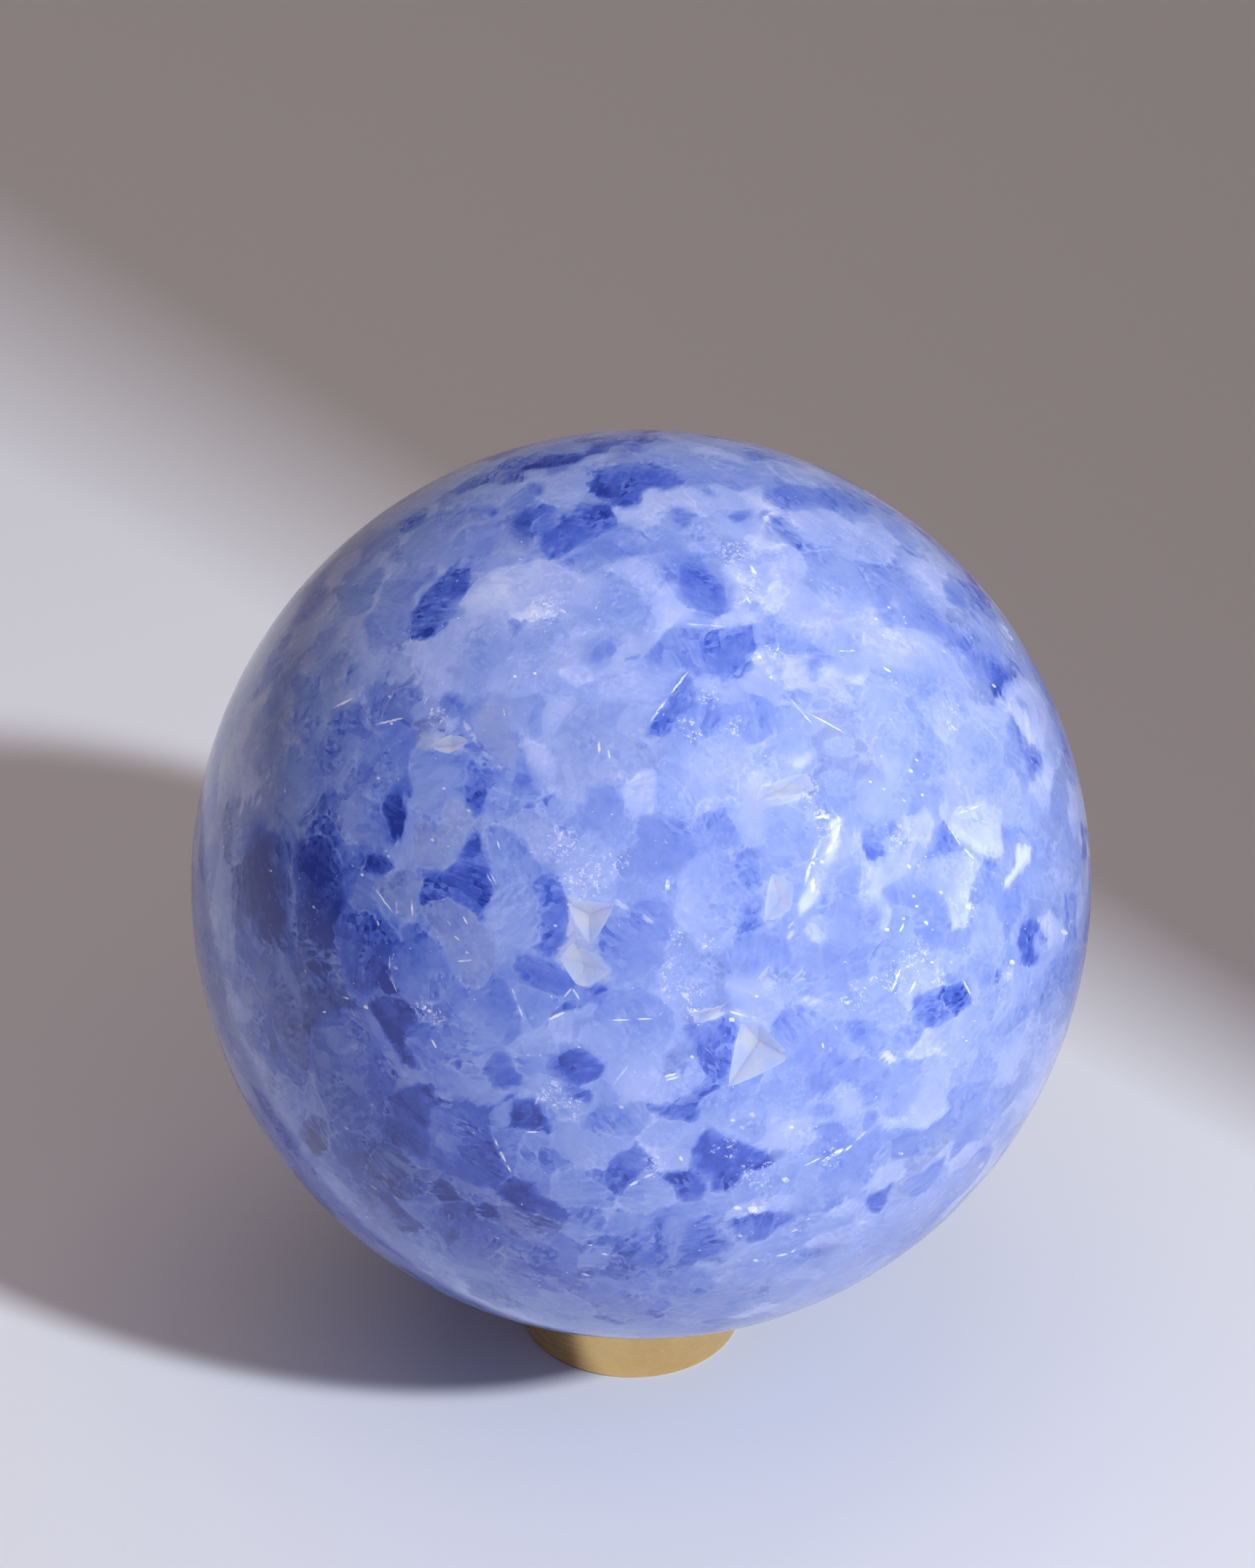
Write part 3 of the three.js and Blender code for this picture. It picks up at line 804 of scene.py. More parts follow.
    ("light", [(797, 1725), (817, 1714), (840, 1720), (837, 1732), (829, 1743), (799, 1738)]),
    # below the middle, centre and right
    ("pale", [(905, 1335), (930, 1300), (965, 1310), (985, 1345), (975, 1385), (940, 1395),
              (915, 1375)]),
    ("dark", [(931, 1413), (960, 1408), (1000, 1393), (1018, 1410), (1007, 1451), (1000, 1477),
              (987, 1493), (971, 1482), (960, 1464), (949, 1448), (944, 1428)]),
    ("deep", [(960, 1450), (1008, 1440), (1000, 1477), (987, 1493), (971, 1482)]),
    ("soft", [(973, 1323), (989, 1303), (1009, 1294), (1054, 1285), (1076, 1288), (1087, 1305),
              (1087, 1321), (1067, 1348), (1056, 1330), (1040, 1348), (1009, 1343)]),
    ("dark", [(1018, 1268), (1036, 1259), (1049, 1268), (1047, 1276), (1031, 1288), (1013, 1288)]),
    ("pale", [(900, 1500), (915, 1477), (942, 1480), (949, 1451), (971, 1482), (951, 1500), (926, 1511),
              (884, 1518)]),
    ("deep", [(884, 1524), (904, 1520), (931, 1513), (953, 1500), (973, 1495), (991, 1493), (973, 1506),
              (964, 1520), (969, 1529), (953, 1542), (942, 1537), (924, 1538), (902, 1541)]),
    ("light", [(877, 1566), (888, 1548), (904, 1541), (926, 1538), (942, 1540), (951, 1551),
               (960, 1557), (958, 1573), (949, 1580), (900, 1582)]),
    ("milky", [(902, 1584), (926, 1582), (949, 1580), (953, 1602), (938, 1611), (908, 1615),
               (893, 1593)]),
    ("deep", [(960, 1557), (975, 1548), (987, 1555), (1000, 1569), (1031, 1575), (1051, 1580),
              (1064, 1598), (1036, 1611), (1018, 1615), (1013, 1631), (996, 1638), (982, 1636),
              (973, 1615), (949, 1609), (951, 1582)]),
    ("deep", [(908, 1618), (931, 1611), (964, 1615), (975, 1636), (964, 1648), (938, 1652),
              (924, 1633)]),
    ("light", [(931, 1653), (964, 1649), (978, 1638), (1000, 1640), (1018, 1647), (993, 1671),
               (1000, 1678), (964, 1671), (931, 1669), (904, 1676)]),
    ("milky", [(993, 1669), (1009, 1658), (1027, 1653), (1049, 1649), (1045, 1667), (1027, 1669),
               (1000, 1678)]),
    ("dark", [(1000, 1678), (1027, 1671), (1051, 1667), (1076, 1665), (1114, 1669), (1085, 1680),
              (1058, 1703), (1031, 1707), (1009, 1705)]),
    ("dark", oval(1105, 1727, 11, 6)),
    ("light", [(982, 1498), (1031, 1484), (1049, 1495), (1058, 1522), (1054, 1560), (1035, 1568),
               (1010, 1560), (985, 1548), (971, 1540), (964, 1520)]),
    ("soft", [(1072, 1390), (1098, 1381), (1130, 1390), (1143, 1406), (1098, 1431), (1087, 1448),
              (1054, 1424)]),
    ("milky", oval(1125, 1280, 14, 20)),
    # this white patch is partly a white crack, partly a painted reflection off its flat face
    ("white", [(1109, 1212), (1121, 1205), (1125, 1230), (1114, 1250), (1103, 1262), (1098, 1247)]),
    ("white", [(1078, 1288), (1092, 1268), (1089, 1281), (1080, 1292)]),
    ("milky", [(1101, 1375), (1112, 1370), (1130, 1377), (1116, 1381)]),
    ("mid", [(1159, 1402), (1188, 1399), (1218, 1419), (1214, 1444), (1183, 1446), (1165, 1424)]),
    ("dark", oval(1183, 1419, 12, 9)),
    ("soft", [(1109, 1548), (1154, 1546), (1172, 1555), (1156, 1566), (1139, 1578)]),
    ("light", [(1152, 1640), (1161, 1624), (1183, 1627), (1192, 1640), (1181, 1658)]),
    ("soft", [(1185, 1526), (1207, 1522), (1210, 1537), (1196, 1553), (1185, 1560)]),
    ("deep", [(1188, 1655), (1197, 1641), (1210, 1634), (1230, 1630), (1222, 1650), (1207, 1667),
              (1196, 1672)]),
    ("mid", [(1239, 1631), (1252, 1613), (1274, 1604), (1306, 1584), (1301, 1604), (1292, 1615),
             (1270, 1638), (1250, 1645)]),
    ("milky", [(1214, 1604), (1241, 1593), (1245, 1611), (1234, 1629), (1207, 1633), (1185, 1636)]),
    ("milky", [(1274, 1468), (1301, 1466), (1306, 1495), (1297, 1515), (1301, 1528), (1270, 1555),
               (1241, 1552), (1216, 1551), (1210, 1533), (1240, 1535), (1259, 1509), (1268, 1495)]),
    ("light", [(1218, 1457), (1274, 1453), (1270, 1473), (1252, 1493), (1227, 1493)]),
    ("soft", [(1185, 1453), (1218, 1464), (1205, 1480), (1218, 1493), (1207, 1518), (1185, 1522)]),
    # right of the middle
    ("soft", oval(1232, 1026, 15, 7)),
    ("mid", oval(1258, 1042, 7, 11)),
    ("soft", [(1243, 1100), (1252, 1098), (1256, 1112), (1255, 1122), (1246, 1115)]),
    ("soft", oval(1233, 1136, 14, 12)),
    ("milky", [(1306, 1136), (1319, 1109), (1350, 1106), (1379, 1118), (1379, 1174), (1341, 1170),
               (1310, 1147)]),
    ("milky", [(1288, 1114), (1297, 1103), (1308, 1105), (1309, 1118), (1297, 1126)]),
    ("dark", [(1290, 1136), (1301, 1132), (1310, 1150), (1321, 1167), (1297, 1173), (1277, 1183),
              (1281, 1163)]),
    ("soft", [(1297, 1174), (1323, 1170), (1319, 1181), (1306, 1185)]),
    ("dark", [(1351, 1179), (1364, 1175), (1370, 1183), (1370, 1196), (1359, 1199), (1351, 1192)]),
    ("soft", [(1392, 1136), (1402, 1133), (1415, 1143), (1416, 1161), (1402, 1159), (1392, 1150)]),
    ("white", [(1399, 1161), (1417, 1165), (1417, 1183), (1399, 1203), (1375, 1223), (1382, 1208),
               (1395, 1192)]),
    ("soft", [(1214, 1225), (1236, 1205), (1274, 1207), (1274, 1230), (1256, 1250), (1221, 1245)]),
    ("mid", [(1187, 1270), (1198, 1259), (1207, 1263), (1203, 1279), (1189, 1279)]),
    ("soft", [(1252, 1274), (1279, 1274), (1299, 1283), (1299, 1303), (1279, 1308), (1259, 1290)]),
    ("soft", [(1299, 1279), (1317, 1272), (1332, 1270), (1339, 1301), (1319, 1308), (1299, 1303)]),
    ("light", [(1299, 1308), (1339, 1305), (1330, 1330), (1323, 1339), (1294, 1321)]),
    ("mid", [(1285, 1337), (1301, 1337), (1323, 1339), (1330, 1330), (1321, 1348), (1292, 1355)]),
    ("soft", [(1341, 1359), (1348, 1328), (1359, 1323), (1373, 1337), (1375, 1348), (1355, 1357)]),
    ("dark", oval(1370, 1343, 5, 9)),
    ("milky", [(1335, 1343), (1341, 1341), (1348, 1377), (1339, 1381), (1337, 1361)]),
    ("dark", [(1262, 1370), (1290, 1357), (1290, 1375), (1310, 1397), (1281, 1415), (1259, 1401)]),
    ("ink", [(1290, 1357), (1323, 1350), (1328, 1359), (1339, 1381), (1310, 1397), (1290, 1375)]),
    ("soft", [(1234, 1406), (1268, 1406), (1268, 1424), (1259, 1442), (1239, 1446), (1225, 1439)]),
    ("light", [(1198, 1350), (1212, 1305), (1230, 1303), (1239, 1330), (1230, 1357), (1207, 1375),
               (1187, 1366)]),
    ("white", [(1212, 1453), (1218, 1442), (1233, 1455), (1233, 1462)]),
    ("milky", [(1373, 1350), (1377, 1337), (1391, 1330), (1393, 1346), (1377, 1354)]),
    ("deep", [(1405, 1268), (1422, 1265), (1433, 1279), (1442, 1294), (1435, 1297), (1426, 1281),
              (1422, 1299), (1427, 1312), (1424, 1323), (1408, 1328), (1402, 1314), (1400, 1290)]),
    ("milky", [(1426, 1265), (1444, 1252), (1460, 1270), (1460, 1290), (1444, 1301), (1442, 1290)]),
    ("mid", [(1466, 1276), (1475, 1270), (1482, 1279), (1478, 1299), (1460, 1299)]),
    # chipped places beside the pits
    ("chip", [(779, 1239), (843, 1242), (833, 1265), (820, 1285), (818, 1300), (825, 1316), (841, 1331),
              (839, 1349), (823, 1347), (806, 1358), (794, 1352), (789, 1333), (769, 1318), (777, 1300),
              (783, 1289), (783, 1265)]),
    ("chip", [(1042, 1105), (1050, 1085), (1070, 1085), (1085, 1070), (1098, 1075), (1100, 1090),
              (1075, 1105), (1055, 1115)]),
    ("chip", [(1051, 1212), (1076, 1207), (1087, 1230), (1088, 1247), (1076, 1256), (1054, 1266)]),
    ("chip", [(961, 1408), (964, 1399), (980, 1388), (1000, 1390), (985, 1400)]),
    ("white", [(1093, 1050), (1108, 1030), (1105, 1050)]),
]
ALL_GRAINS = HAZY_GRAINS + CLEAR_GRAINS
OUTLINES = [np.array(outline, float) for _, outline in ALL_GRAINS]
print(len(HAZY_GRAINS), "hazy and", len(CLEAR_GRAINS), "clear grains read off the photo")

# %% [markdown]
# ## Random grains and the order of layers
#
# Random grains fill what the outlines leave, and all of the hidden side. They are cells around
# scattered seeds: each point belongs to the seed that is nearest, after a stretch along a direction
# of the seed's own and less a weight that makes some grains larger. Borders are shifted by ripples,
# so that none is quite straight.

# %% Random grains and layers
WAVE_SPREAD = (0.7, 1.4)
RANDOM_GRAINS = 1250
SEEDS_TRIED = RANDOM_GRAINS * 6
CLOSEST = 0.7
MOST_STRETCH = 3
MOST_WEIGHT_MM = 3
PX_PER_MM = 15.9
COARSE_WAVE_MM = 4.0
FINE_WAVE_MM = 1.0
CRUMBLY_WAVE_MM = 9
RANDOM_WOBBLE_MM = (0.5, 0.2)
READ_WOBBLE_MM = (0.12, 0.10)
SEEN_FROM = 0.1
SEEN_RAGGED = 0.06
rng = np.random.default_rng(7)


def ripple(points, wavelength, seed, waves=12):
    """A smooth random field with a spread of about 1: a sum of sine waves in seeded directions."""
    draw = np.random.default_rng(seed)
    ways = unit(draw.normal(size=(waves, 3)))
    lengths = wavelength * draw.uniform(*WAVE_SPREAD, waves)
    phases = draw.uniform(0, 2 * np.pi, waves)
    turns = points @ (ways * (2 * np.pi / lengths)[:, None]).T + phases
    return np.sin(turns).sum(1) * math.sqrt(2 / waves)


def wobble(points, coarse, fine):
    """How far borders stray, in mm: three fields of coarse ripples, and of fine ones in patches."""
    long_waves = np.stack([ripple(points, COARSE_WAVE_MM, 10 + k) for k in range(3)], -1)
    short_waves = np.stack([ripple(points, FINE_WAVE_MM, 20 + k) for k in range(3)], -1)
    crumbly = 0.5 + 0.5 * np.tanh(ripple(points, CRUMBLY_WAVE_MM, 31))
    return coarse * long_waves + fine * crumbly[:, None] * short_waves


def spread_out(seeds, count):
    """Leaves out the seeds that are too close to one before them, so that grains are of like size.
    Even spacing is the root of each seed's share of the unit sphere's area."""
    kept = seeds[:1]
    spacing = math.sqrt(4 * np.pi / count) * CLOSEST
    for seed in seeds[1:]:
        if (kept @ seed).max() < math.cos(spacing):
            kept = np.concatenate([kept, seed[None]])
    return kept


SEEDS = spread_out(unit(rng.normal(size=(SEEDS_TRIED, 3))), RANDOM_GRAINS)
SEED_POINTS = skin_point(SEEDS)
SEED_WEIGHT = rng.uniform(0, 1, len(SEEDS)) ** 2 * MOST_WEIGHT_MM
SEED_STRETCH = rng.uniform(0, MOST_STRETCH, len(SEEDS))
SEED_WAY = unit(np.cross(SEEDS, unit(rng.normal(size=SEEDS.shape))))
GRAIN_COUNT = len(SEEDS) + len(OUTLINES)
print(len(SEEDS), "random grains")


def nearest_seeds(points, chunk=20000):
    """The nearest seed, the next one, and the distance in mm from the border between the two."""
    own = (SEED_POINTS * SEED_WAY).sum(1)
    square = (SEED_POINTS ** 2).sum(1)
    firsts, seconds, borders = [], [], []
    for start in range(0, len(points), chunk):
        p = points[start:start + chunk]
        gap = (p ** 2).sum(1)[:, None] - 2 * p @ SEED_POINTS.T + square
        gap += SEED_STRETCH * (p @ SEED_WAY.T - own) ** 2
        gap = np.sqrt(np.maximum(gap, 0)) - SEED_WEIGHT
        rows = np.arange(len(p))
        first = gap.argmin(1)
        nearest = gap[rows, first]
        gap[rows, first] = np.inf
        second = gap.argmin(1)
        firsts.append(first)
        seconds.append(second)
        borders.append((gap[rows, second] - nearest) / 2)
    return np.concatenate(firsts), np.concatenate(seconds), np.concatenate(borders)


def depth_inside(places, outline):
    """Distance to the nearest side of an outline, and less than zero outside it. A place is inside
    if a line from it to the right crosses the outline an odd number of times."""
    inside = np.zeros(len(places), bool)
    distance = np.full(len(places), np.inf)
    for start, end in zip(outline, np.roll(outline, -1, axis=0)):
        side, offset = end - start, places - start
        share = np.clip(offset @ side / (side @ side), 0, 1)
        distance = np.minimum(distance, np.linalg.norm(offset - share[:, None] * side, axis=1))
        crosses = (start[1] > places[:, 1]) != (end[1] > places[:, 1])
        rise = end[1] - start[1] if end[1] != start[1] else 1
        crossing = start[0] + (places[:, 1] - start[1]) * side[0] / rise
        inside ^= crosses & (places[:, 0] < crossing)
    return np.where(inside, distance, -distance)


def facing_camera(points):
    """Cosine between the skin's outward direction and the way to the camera."""
    return (unit(CAMERA_PLACE - points) * unit(points - CENTRE)).sum(1)


def grain_layers(directions):
    """The grain that each point is in, the one next to it, and its distance in mm from their
    border. Each outline in turn covers what is below it, or may be the nearest neighbour."""
    points = skin_point(directions)
    grain, neighbour, border = nearest_seeds(points + wobble(points, *RANDOM_WOBBLE_MM))
    picture = to_picture(points + wobble(points, *READ_WOBBLE_MM))
    seen = facing_camera(points) > SEEN_FROM + SEEN_RAGGED * ripple(points, 7, 33)
    for number, outline in enumerate(OUTLINES, len(SEEDS)):
        low, high = outline.min(0) - PX_PER_MM, outline.max(0) + PX_PER_MM
        near = np.flatnonzero(seen & (picture > low).all(1) & (picture < high).all(1))
        depth = depth_inside(picture[near], outline) / PX_PER_MM
        covered = near[depth > 0]
        neighbour[covered] = grain[covered]
        grain[covered] = number
        border[covered] = depth[depth > 0]
        beside = (depth <= 0) & (-depth < border[near])
        neighbour[near[beside]] = number
        border[near[beside]] = -depth[beside]
    return grain, neighbour, border


def grain_at(directions):
    return grain_layers(directions)[0]


directions, triangles, grain, pit_face = cut_along_borders(directions, triangles, grain_at, pit_face)
print(len(directions), "points and", len(triangles), "triangles after cutting")

# %% [markdown]
# ## What each grain looks like
#
# Every corner of every triangle gets numbers that the material reads. The tone runs from navy to
# white. It slopes a little across each grain, because the grain is a wedge seen through clear stone,
# and it runs over into the neighbour's tone near a hazy border. Other numbers are the distance from
# the border, and the place along directions of the grain's own, for its cleavage streaks.

# %% Values for the material
FRONT_TONES = {0.4: 0.14, 0.49: 0.22, 0.58: 0.26, 0.66: 0.22, 0.75: 0.16}
BACK_TONES = {0.12: 0.07, 0.2: 0.12, 0.33: 0.14, 0.45: 0.22, 0.57: 0.2, 0.65: 0.15, 0.76: 0.1}
# broad changes of tone, set where a render was lighter or darker than the photo: the middle
# in the photo, the radius in px, and how much they change random grains and read grains. Most
# darker ones, on the shaded left and lower side, are painted shade, and the lift at the left rim
# is a painted reflection of the floor; the others lighten or darken the grains in places
PAINTED_SHADE_AND_TONE_CHANGES = [
    ((420, 1260), 130, -0.32, -0.09),
    ((510, 1320), 70, -0.12, -0.12),
    ((470, 1480), 180, -0.32, -0.12),
    ((560, 1640), 150, -0.26, -0.16),
    ((690, 1640), 110, -0.16, -0.15),
    ((610, 1420), 130, -0.10, -0.06),
    ((500, 1060), 80, -0.12, -0.04),
    ((870, 1740), 150, -0.22, -0.15),
    ((800, 720), 60, -0.05, -0.06),
    ((690, 660), 60, -0.10, -0.06),
    ((430, 930), 130, -0.06, 0.00),
    ((860, 600), 120, -0.10, 0.00),
    ((1190, 1010), 160, 0.18, 0.04),
    ((1290, 820), 80, -0.14, -0.06),
    ((1390, 950), 70, -0.10, -0.03),
    ((950, 780), 110, 0.10, 0.04),
    ((640, 860), 90, -0.07, -0.03),
    ((340, 1040), 60, 0.14, 0.00),
    ((1340, 1255), 90, 0.08, 0.03),
    ((1470, 1370), 60, -0.12, -0.08),
    ((1400, 1050), 60, 0.10, 0.05),
    ((1350, 1450), 80, 0.12, 0.05),
    ((1100, 1650), 60, 0.10, 0.05),
    ((1150, 1500), 60, -0.08, -0.05),
]
TONE_SPREAD = 0.02
HAZY_SHARE = 0.3
GREY_MIDDLE, GREY_SPREAD, GREY_MOST = 0.05, 0.22, 0.7
READ_GREY, ASH_GREY, CHIP_GREY = 0.05, 0.5, 0.9
SLOPES = (0.02, 0.09)
SLOPE_MM = 2.5
SLOPE_ENDS = 1.2
HAZY_WIDTH_MM = 0.6
CLEAR_WIDTH_MM = (0.01, 0.10)
STREAKS_APART_MM = 7.3
look = np.random.default_rng(21)


def painted_shade_and_tone_change(points, column):
    """The sum of bell-shaped changes of tone around places in the photo, on the seen side only: partly
    painted shade and a painted reflection, partly changes of tone. The column says which of the two
    amounts counts."""
    picture = to_picture(points)
    seen = np.clip(facing_camera(points) * 4, 0, 1)
    total = np.zeros(len(points))
    for place, radius, *changes in PAINTED_SHADE_AND_TONE_CHANGES:
        total += changes[column] * np.exp(-((picture - place) ** 2).sum(1) / radius ** 2)
    return total * seen


def random_tones():
    """Tones for the random grains: lighter ones at the front, where the dark grains are read off."""
    front = look.choice(list(FRONT_TONES), len(SEEDS), p=list(FRONT_TONES.values()))
    back = look.choice(list(BACK_TONES), len(SEEDS), p=list(BACK_TONES.values()))
    return np.where(facing_camera(SEED_POINTS) > SEEN_FROM, front, back)


read_names = np.array([name for name, _ in ALL_GRAINS])
read_points = skin_point(from_picture([outline.mean(0) for outline in OUTLINES]))
# both kinds of grain get the broad changes, which are partly painted shade
read_tones = np.array([TONES[name] for name in read_names]) + painted_shade_and_tone_change(read_points, 1)
GRAIN_TONE = np.concatenate([random_tones() + painted_shade_and_tone_change(SEED_POINTS, 0), read_tones])
GRAIN_TONE += look.normal(0, TONE_SPREAD, GRAIN_COUNT)
read_hazy = np.arange(len(ALL_GRAINS)) < len(HAZY_GRAINS)
GRAIN_HAZY = np.concatenate([look.random(len(SEEDS)) < HAZY_SHARE, read_hazy])
GRAIN_GREY = np.clip(look.normal(GREY_MIDDLE, GREY_SPREAD, GRAIN_COUNT), 0, GREY_MOST)
GRAIN_GREY[len(SEEDS):] = np.select([read_names == "chip", read_names == "ash"],
                                    [CHIP_GREY, ASH_GREY], READ_GREY)
GRAIN_GLOW = look.uniform(0, 1, GRAIN_COUNT) ** 2
GRAIN_TURN = unit(look.normal(size=(GRAIN_COUNT, 3)))
GRAIN_SLOPE = look.uniform(*SLOPES, GRAIN_COUNT)


def grain_middles():
    """The mean place of each grain's triangles."""
    centres = skin_point(unit(directions[triangles].mean(1)))
    count = np.maximum(np.bincount(grain, minlength=GRAIN_COUNT), 1)
    sums = [np.bincount(grain, centres[:, axis], minlength=GRAIN_COUNT) for axis in range(3)]
    return np.stack(sums, -1) / count[:, None]


GRAIN_MIDDLE = grain_middles()
corner_point = triangles.ravel()
corner_grain = np.repeat(grain, 3)
corner_skin = skin_point(directions)[corner_point]
layer_grain, layer_neighbour, layer_border = grain_layers(directions)
is_own = layer_grain[corner_point] == corner_grain
corner_other = np.where(is_own, layer_neighbour[corner_point], layer_grain[corner_point])
from_border = np.where(is_own, layer_border[corner_point], 0)


def tone_in(grain_number):
    """A grain's tone at each corner, with a slope across it along a direction of its own."""
    from_middle = corner_skin - GRAIN_MIDDLE[grain_number]
    slope = (from_middle * GRAIN_TURN[grain_number]).sum(1) / SLOPE_MM
    slope = np.clip(slope, -SLOPE_ENDS, SLOPE_ENDS)
    return GRAIN_TONE[grain_number] + GRAIN_SLOPE[grain_number] * slope


def border_width():
    """How far a grain's tone runs over into its neighbour's, in mm: far where either is hazy."""
    hazy = GRAIN_HAZY[corner_grain] | GRAIN_HAZY[corner_other]
    patchy = np.clip(0.5 + 0.5 * ripple(corner_skin, 9, 41), 0, 1)
    clear = CLEAR_WIDTH_MM[0] + (CLEAR_WIDTH_MM[1] - CLEAR_WIDTH_MM[0]) * patchy
    return np.where(hazy, HAZY_WIDTH_MM, clear)


share = 0.5 * np.exp(-from_border / border_width())
corner_tone = tone_in(corner_grain) * (1 - share) + tone_in(corner_other) * share
corner_grey = GRAIN_GREY[corner_grain] * (1 - share) + GRAIN_GREY[corner_other] * share
border_glow = (GRAIN_GLOW[corner_grain] + GRAIN_GLOW[corner_other]) / 2

streak_a = unit(np.cross(GRAIN_TURN, np.roll(GRAIN_TURN, 1, axis=1) + [0.3, 0, 0]))
streak_b = np.cross(GRAIN_TURN, streak_a)
from_middle = corner_skin - GRAIN_MIDDLE[corner_grain]
streak_place = np.stack([
    (from_middle * GRAIN_TURN[corner_grain]).sum(1),
    (from_middle * streak_a[corner_grain]).sum(1),
    (from_middle * streak_b[corner_grain]).sum(1) + corner_grain * STREAKS_APART_MM], -1)
print("tones from", corner_tone.min().round(2), "to", corner_tone.max().round(2))

# %% [markdown]
# ## Bright cracks, painted glints and clusters
#
# Thin cracks and cleavage edges show as bright strokes, and small broken crystals as dots: partly
# the white of light that scatters in them, and partly painted glints. Each is a slim oval that lies on
# the skin. Every triangle gets the oval that is nearest to it: its corners' places along and across
# the oval, measured in half lengths and half widths, so that the material can draw it sharply.
# Clusters of tiny crystals are round patches, where painted glints of specks and flakes gather.

# %% Strokes, dots and clusters
# strokes and dots are partly white cracks and partly painted glints
STROKES = [
    # x and y of both ends in the photo, and the width, in px
    (938, 858, 1000, 862, 4), (1030, 775, 1045, 800, 7), (1018, 808, 1033, 832, 5),
    (1150, 895, 1178, 895, 4), (455, 975, 490, 958, 5), (510, 998, 565, 985, 4),
    (582, 970, 588, 958, 4), (617, 1030, 633, 1020, 5), (633, 1020, 647, 1016, 5),
    (823, 1018, 824, 1040, 4), (836, 1030, 838, 1045, 4), (668, 1200, 680, 1220, 3),
    (673, 1199, 684, 1219, 3), (683, 1155, 688, 1170, 3), (692, 973, 694, 985, 3),
    (892, 995, 920, 957, 4), (920, 957, 948, 920, 4), (1118, 1125, 1150, 1120, 6),
    (1150, 1120, 1155, 1132, 6), (1155, 1132, 1145, 1160, 7), (1145, 1160, 1135, 1175, 6),
    (1130, 1150, 1115, 1185, 6), (1115, 1185, 1105, 1220, 6), (1117, 1205, 1118, 1230, 9),
    (920, 1205, 915, 1230, 8), (1085, 960, 1120, 1000, 3), (1110, 980, 1165, 1010, 3),
    (1050, 915, 1068, 938, 4), (1310, 1121, 1350, 1106, 4), (1301, 1132, 1323, 1167, 4),
    (1323, 1165, 1341, 1183, 4), (1212, 916, 1226, 925, 5), (1239, 1097, 1246, 1103, 4),
    (545, 1238, 545, 1259, 3), (566, 1232, 567, 1264, 4), (536, 1312, 535, 1337, 3),
    (535, 1337, 546, 1366, 3), (419, 1332, 421, 1341, 4), (443, 1392, 449, 1391, 4),
    (468, 1370, 481, 1374, 4), (518, 1265, 521, 1274, 4), (614, 1265, 620, 1273, 3),
    (636, 1259, 643, 1272, 3), (624, 1287, 632, 1293, 3), (628, 1322, 650, 1320, 4),
    (703, 1357, 711, 1378, 4), (711, 1378, 719, 1401, 3), (835, 1403, 868, 1402, 3),
    (872, 1401, 900, 1401, 3), (745, 1505, 749, 1497, 6), (735, 1520, 742, 1507, 5),
    (592, 1428, 601, 1442, 5), (752, 1403, 779, 1390, 5), (775, 1372, 786, 1358, 4),
    (786, 1358, 797, 1375, 4), (912, 1481, 931, 1476, 5), (914, 1486, 934, 1480, 4),
    (1000, 1390, 1031, 1399, 4), (1031, 1399, 1049, 1399, 4), (1130, 1433, 1132, 1442, 4),
    (1145, 1408, 1151, 1416, 4), (1082, 1278, 1092, 1266, 4), (1195, 1350, 1202, 1341, 6),
    (1248, 1370, 1260, 1347, 6), (1234, 1288, 1243, 1268, 5), (1225, 1366, 1239, 1328, 5),
    (1323, 1346, 1335, 1370, 4), (1335, 1370, 1339, 1381, 4), (677, 1560, 686, 1580, 4),
    (686, 1580, 696, 1600, 6), (696, 1600, 703, 1613, 4), (721, 1556, 744, 1557, 4),
    (795, 1750, 817, 1756, 6), (808, 1713, 815, 1711, 5), (826, 1724, 837, 1725, 6),
    (864, 1631, 882, 1621, 6), (882, 1621, 900, 1613, 5), (934, 1589, 939, 1597, 5),
    (1127, 1598, 1145, 1590, 9), (1142, 1590, 1161, 1580, 11), (1160, 1583, 1172, 1574, 6),
    (1172, 1573, 1192, 1553, 5), (1103, 1604, 1130, 1591, 4), (1107, 1678, 1114, 1675, 5),
    (1087, 1694, 1098, 1690, 5), (1065, 1727, 1085, 1724, 7), (1085, 1724, 1096, 1716, 6),
    (512, 1216, 543, 1259, 3), (1372, 860, 1398, 905, 4),
]
FAINT_STROKES = [
    (635, 988, 660, 1030, 10), (660, 1030, 692, 1060, 9), (835, 1234, 868, 1252, 10),
    (868, 1252, 900, 1270, 9), (961, 1406, 999, 1391, 9), (842, 1493, 866, 1462, 4),
    (507, 1627, 523, 1640, 7),
]
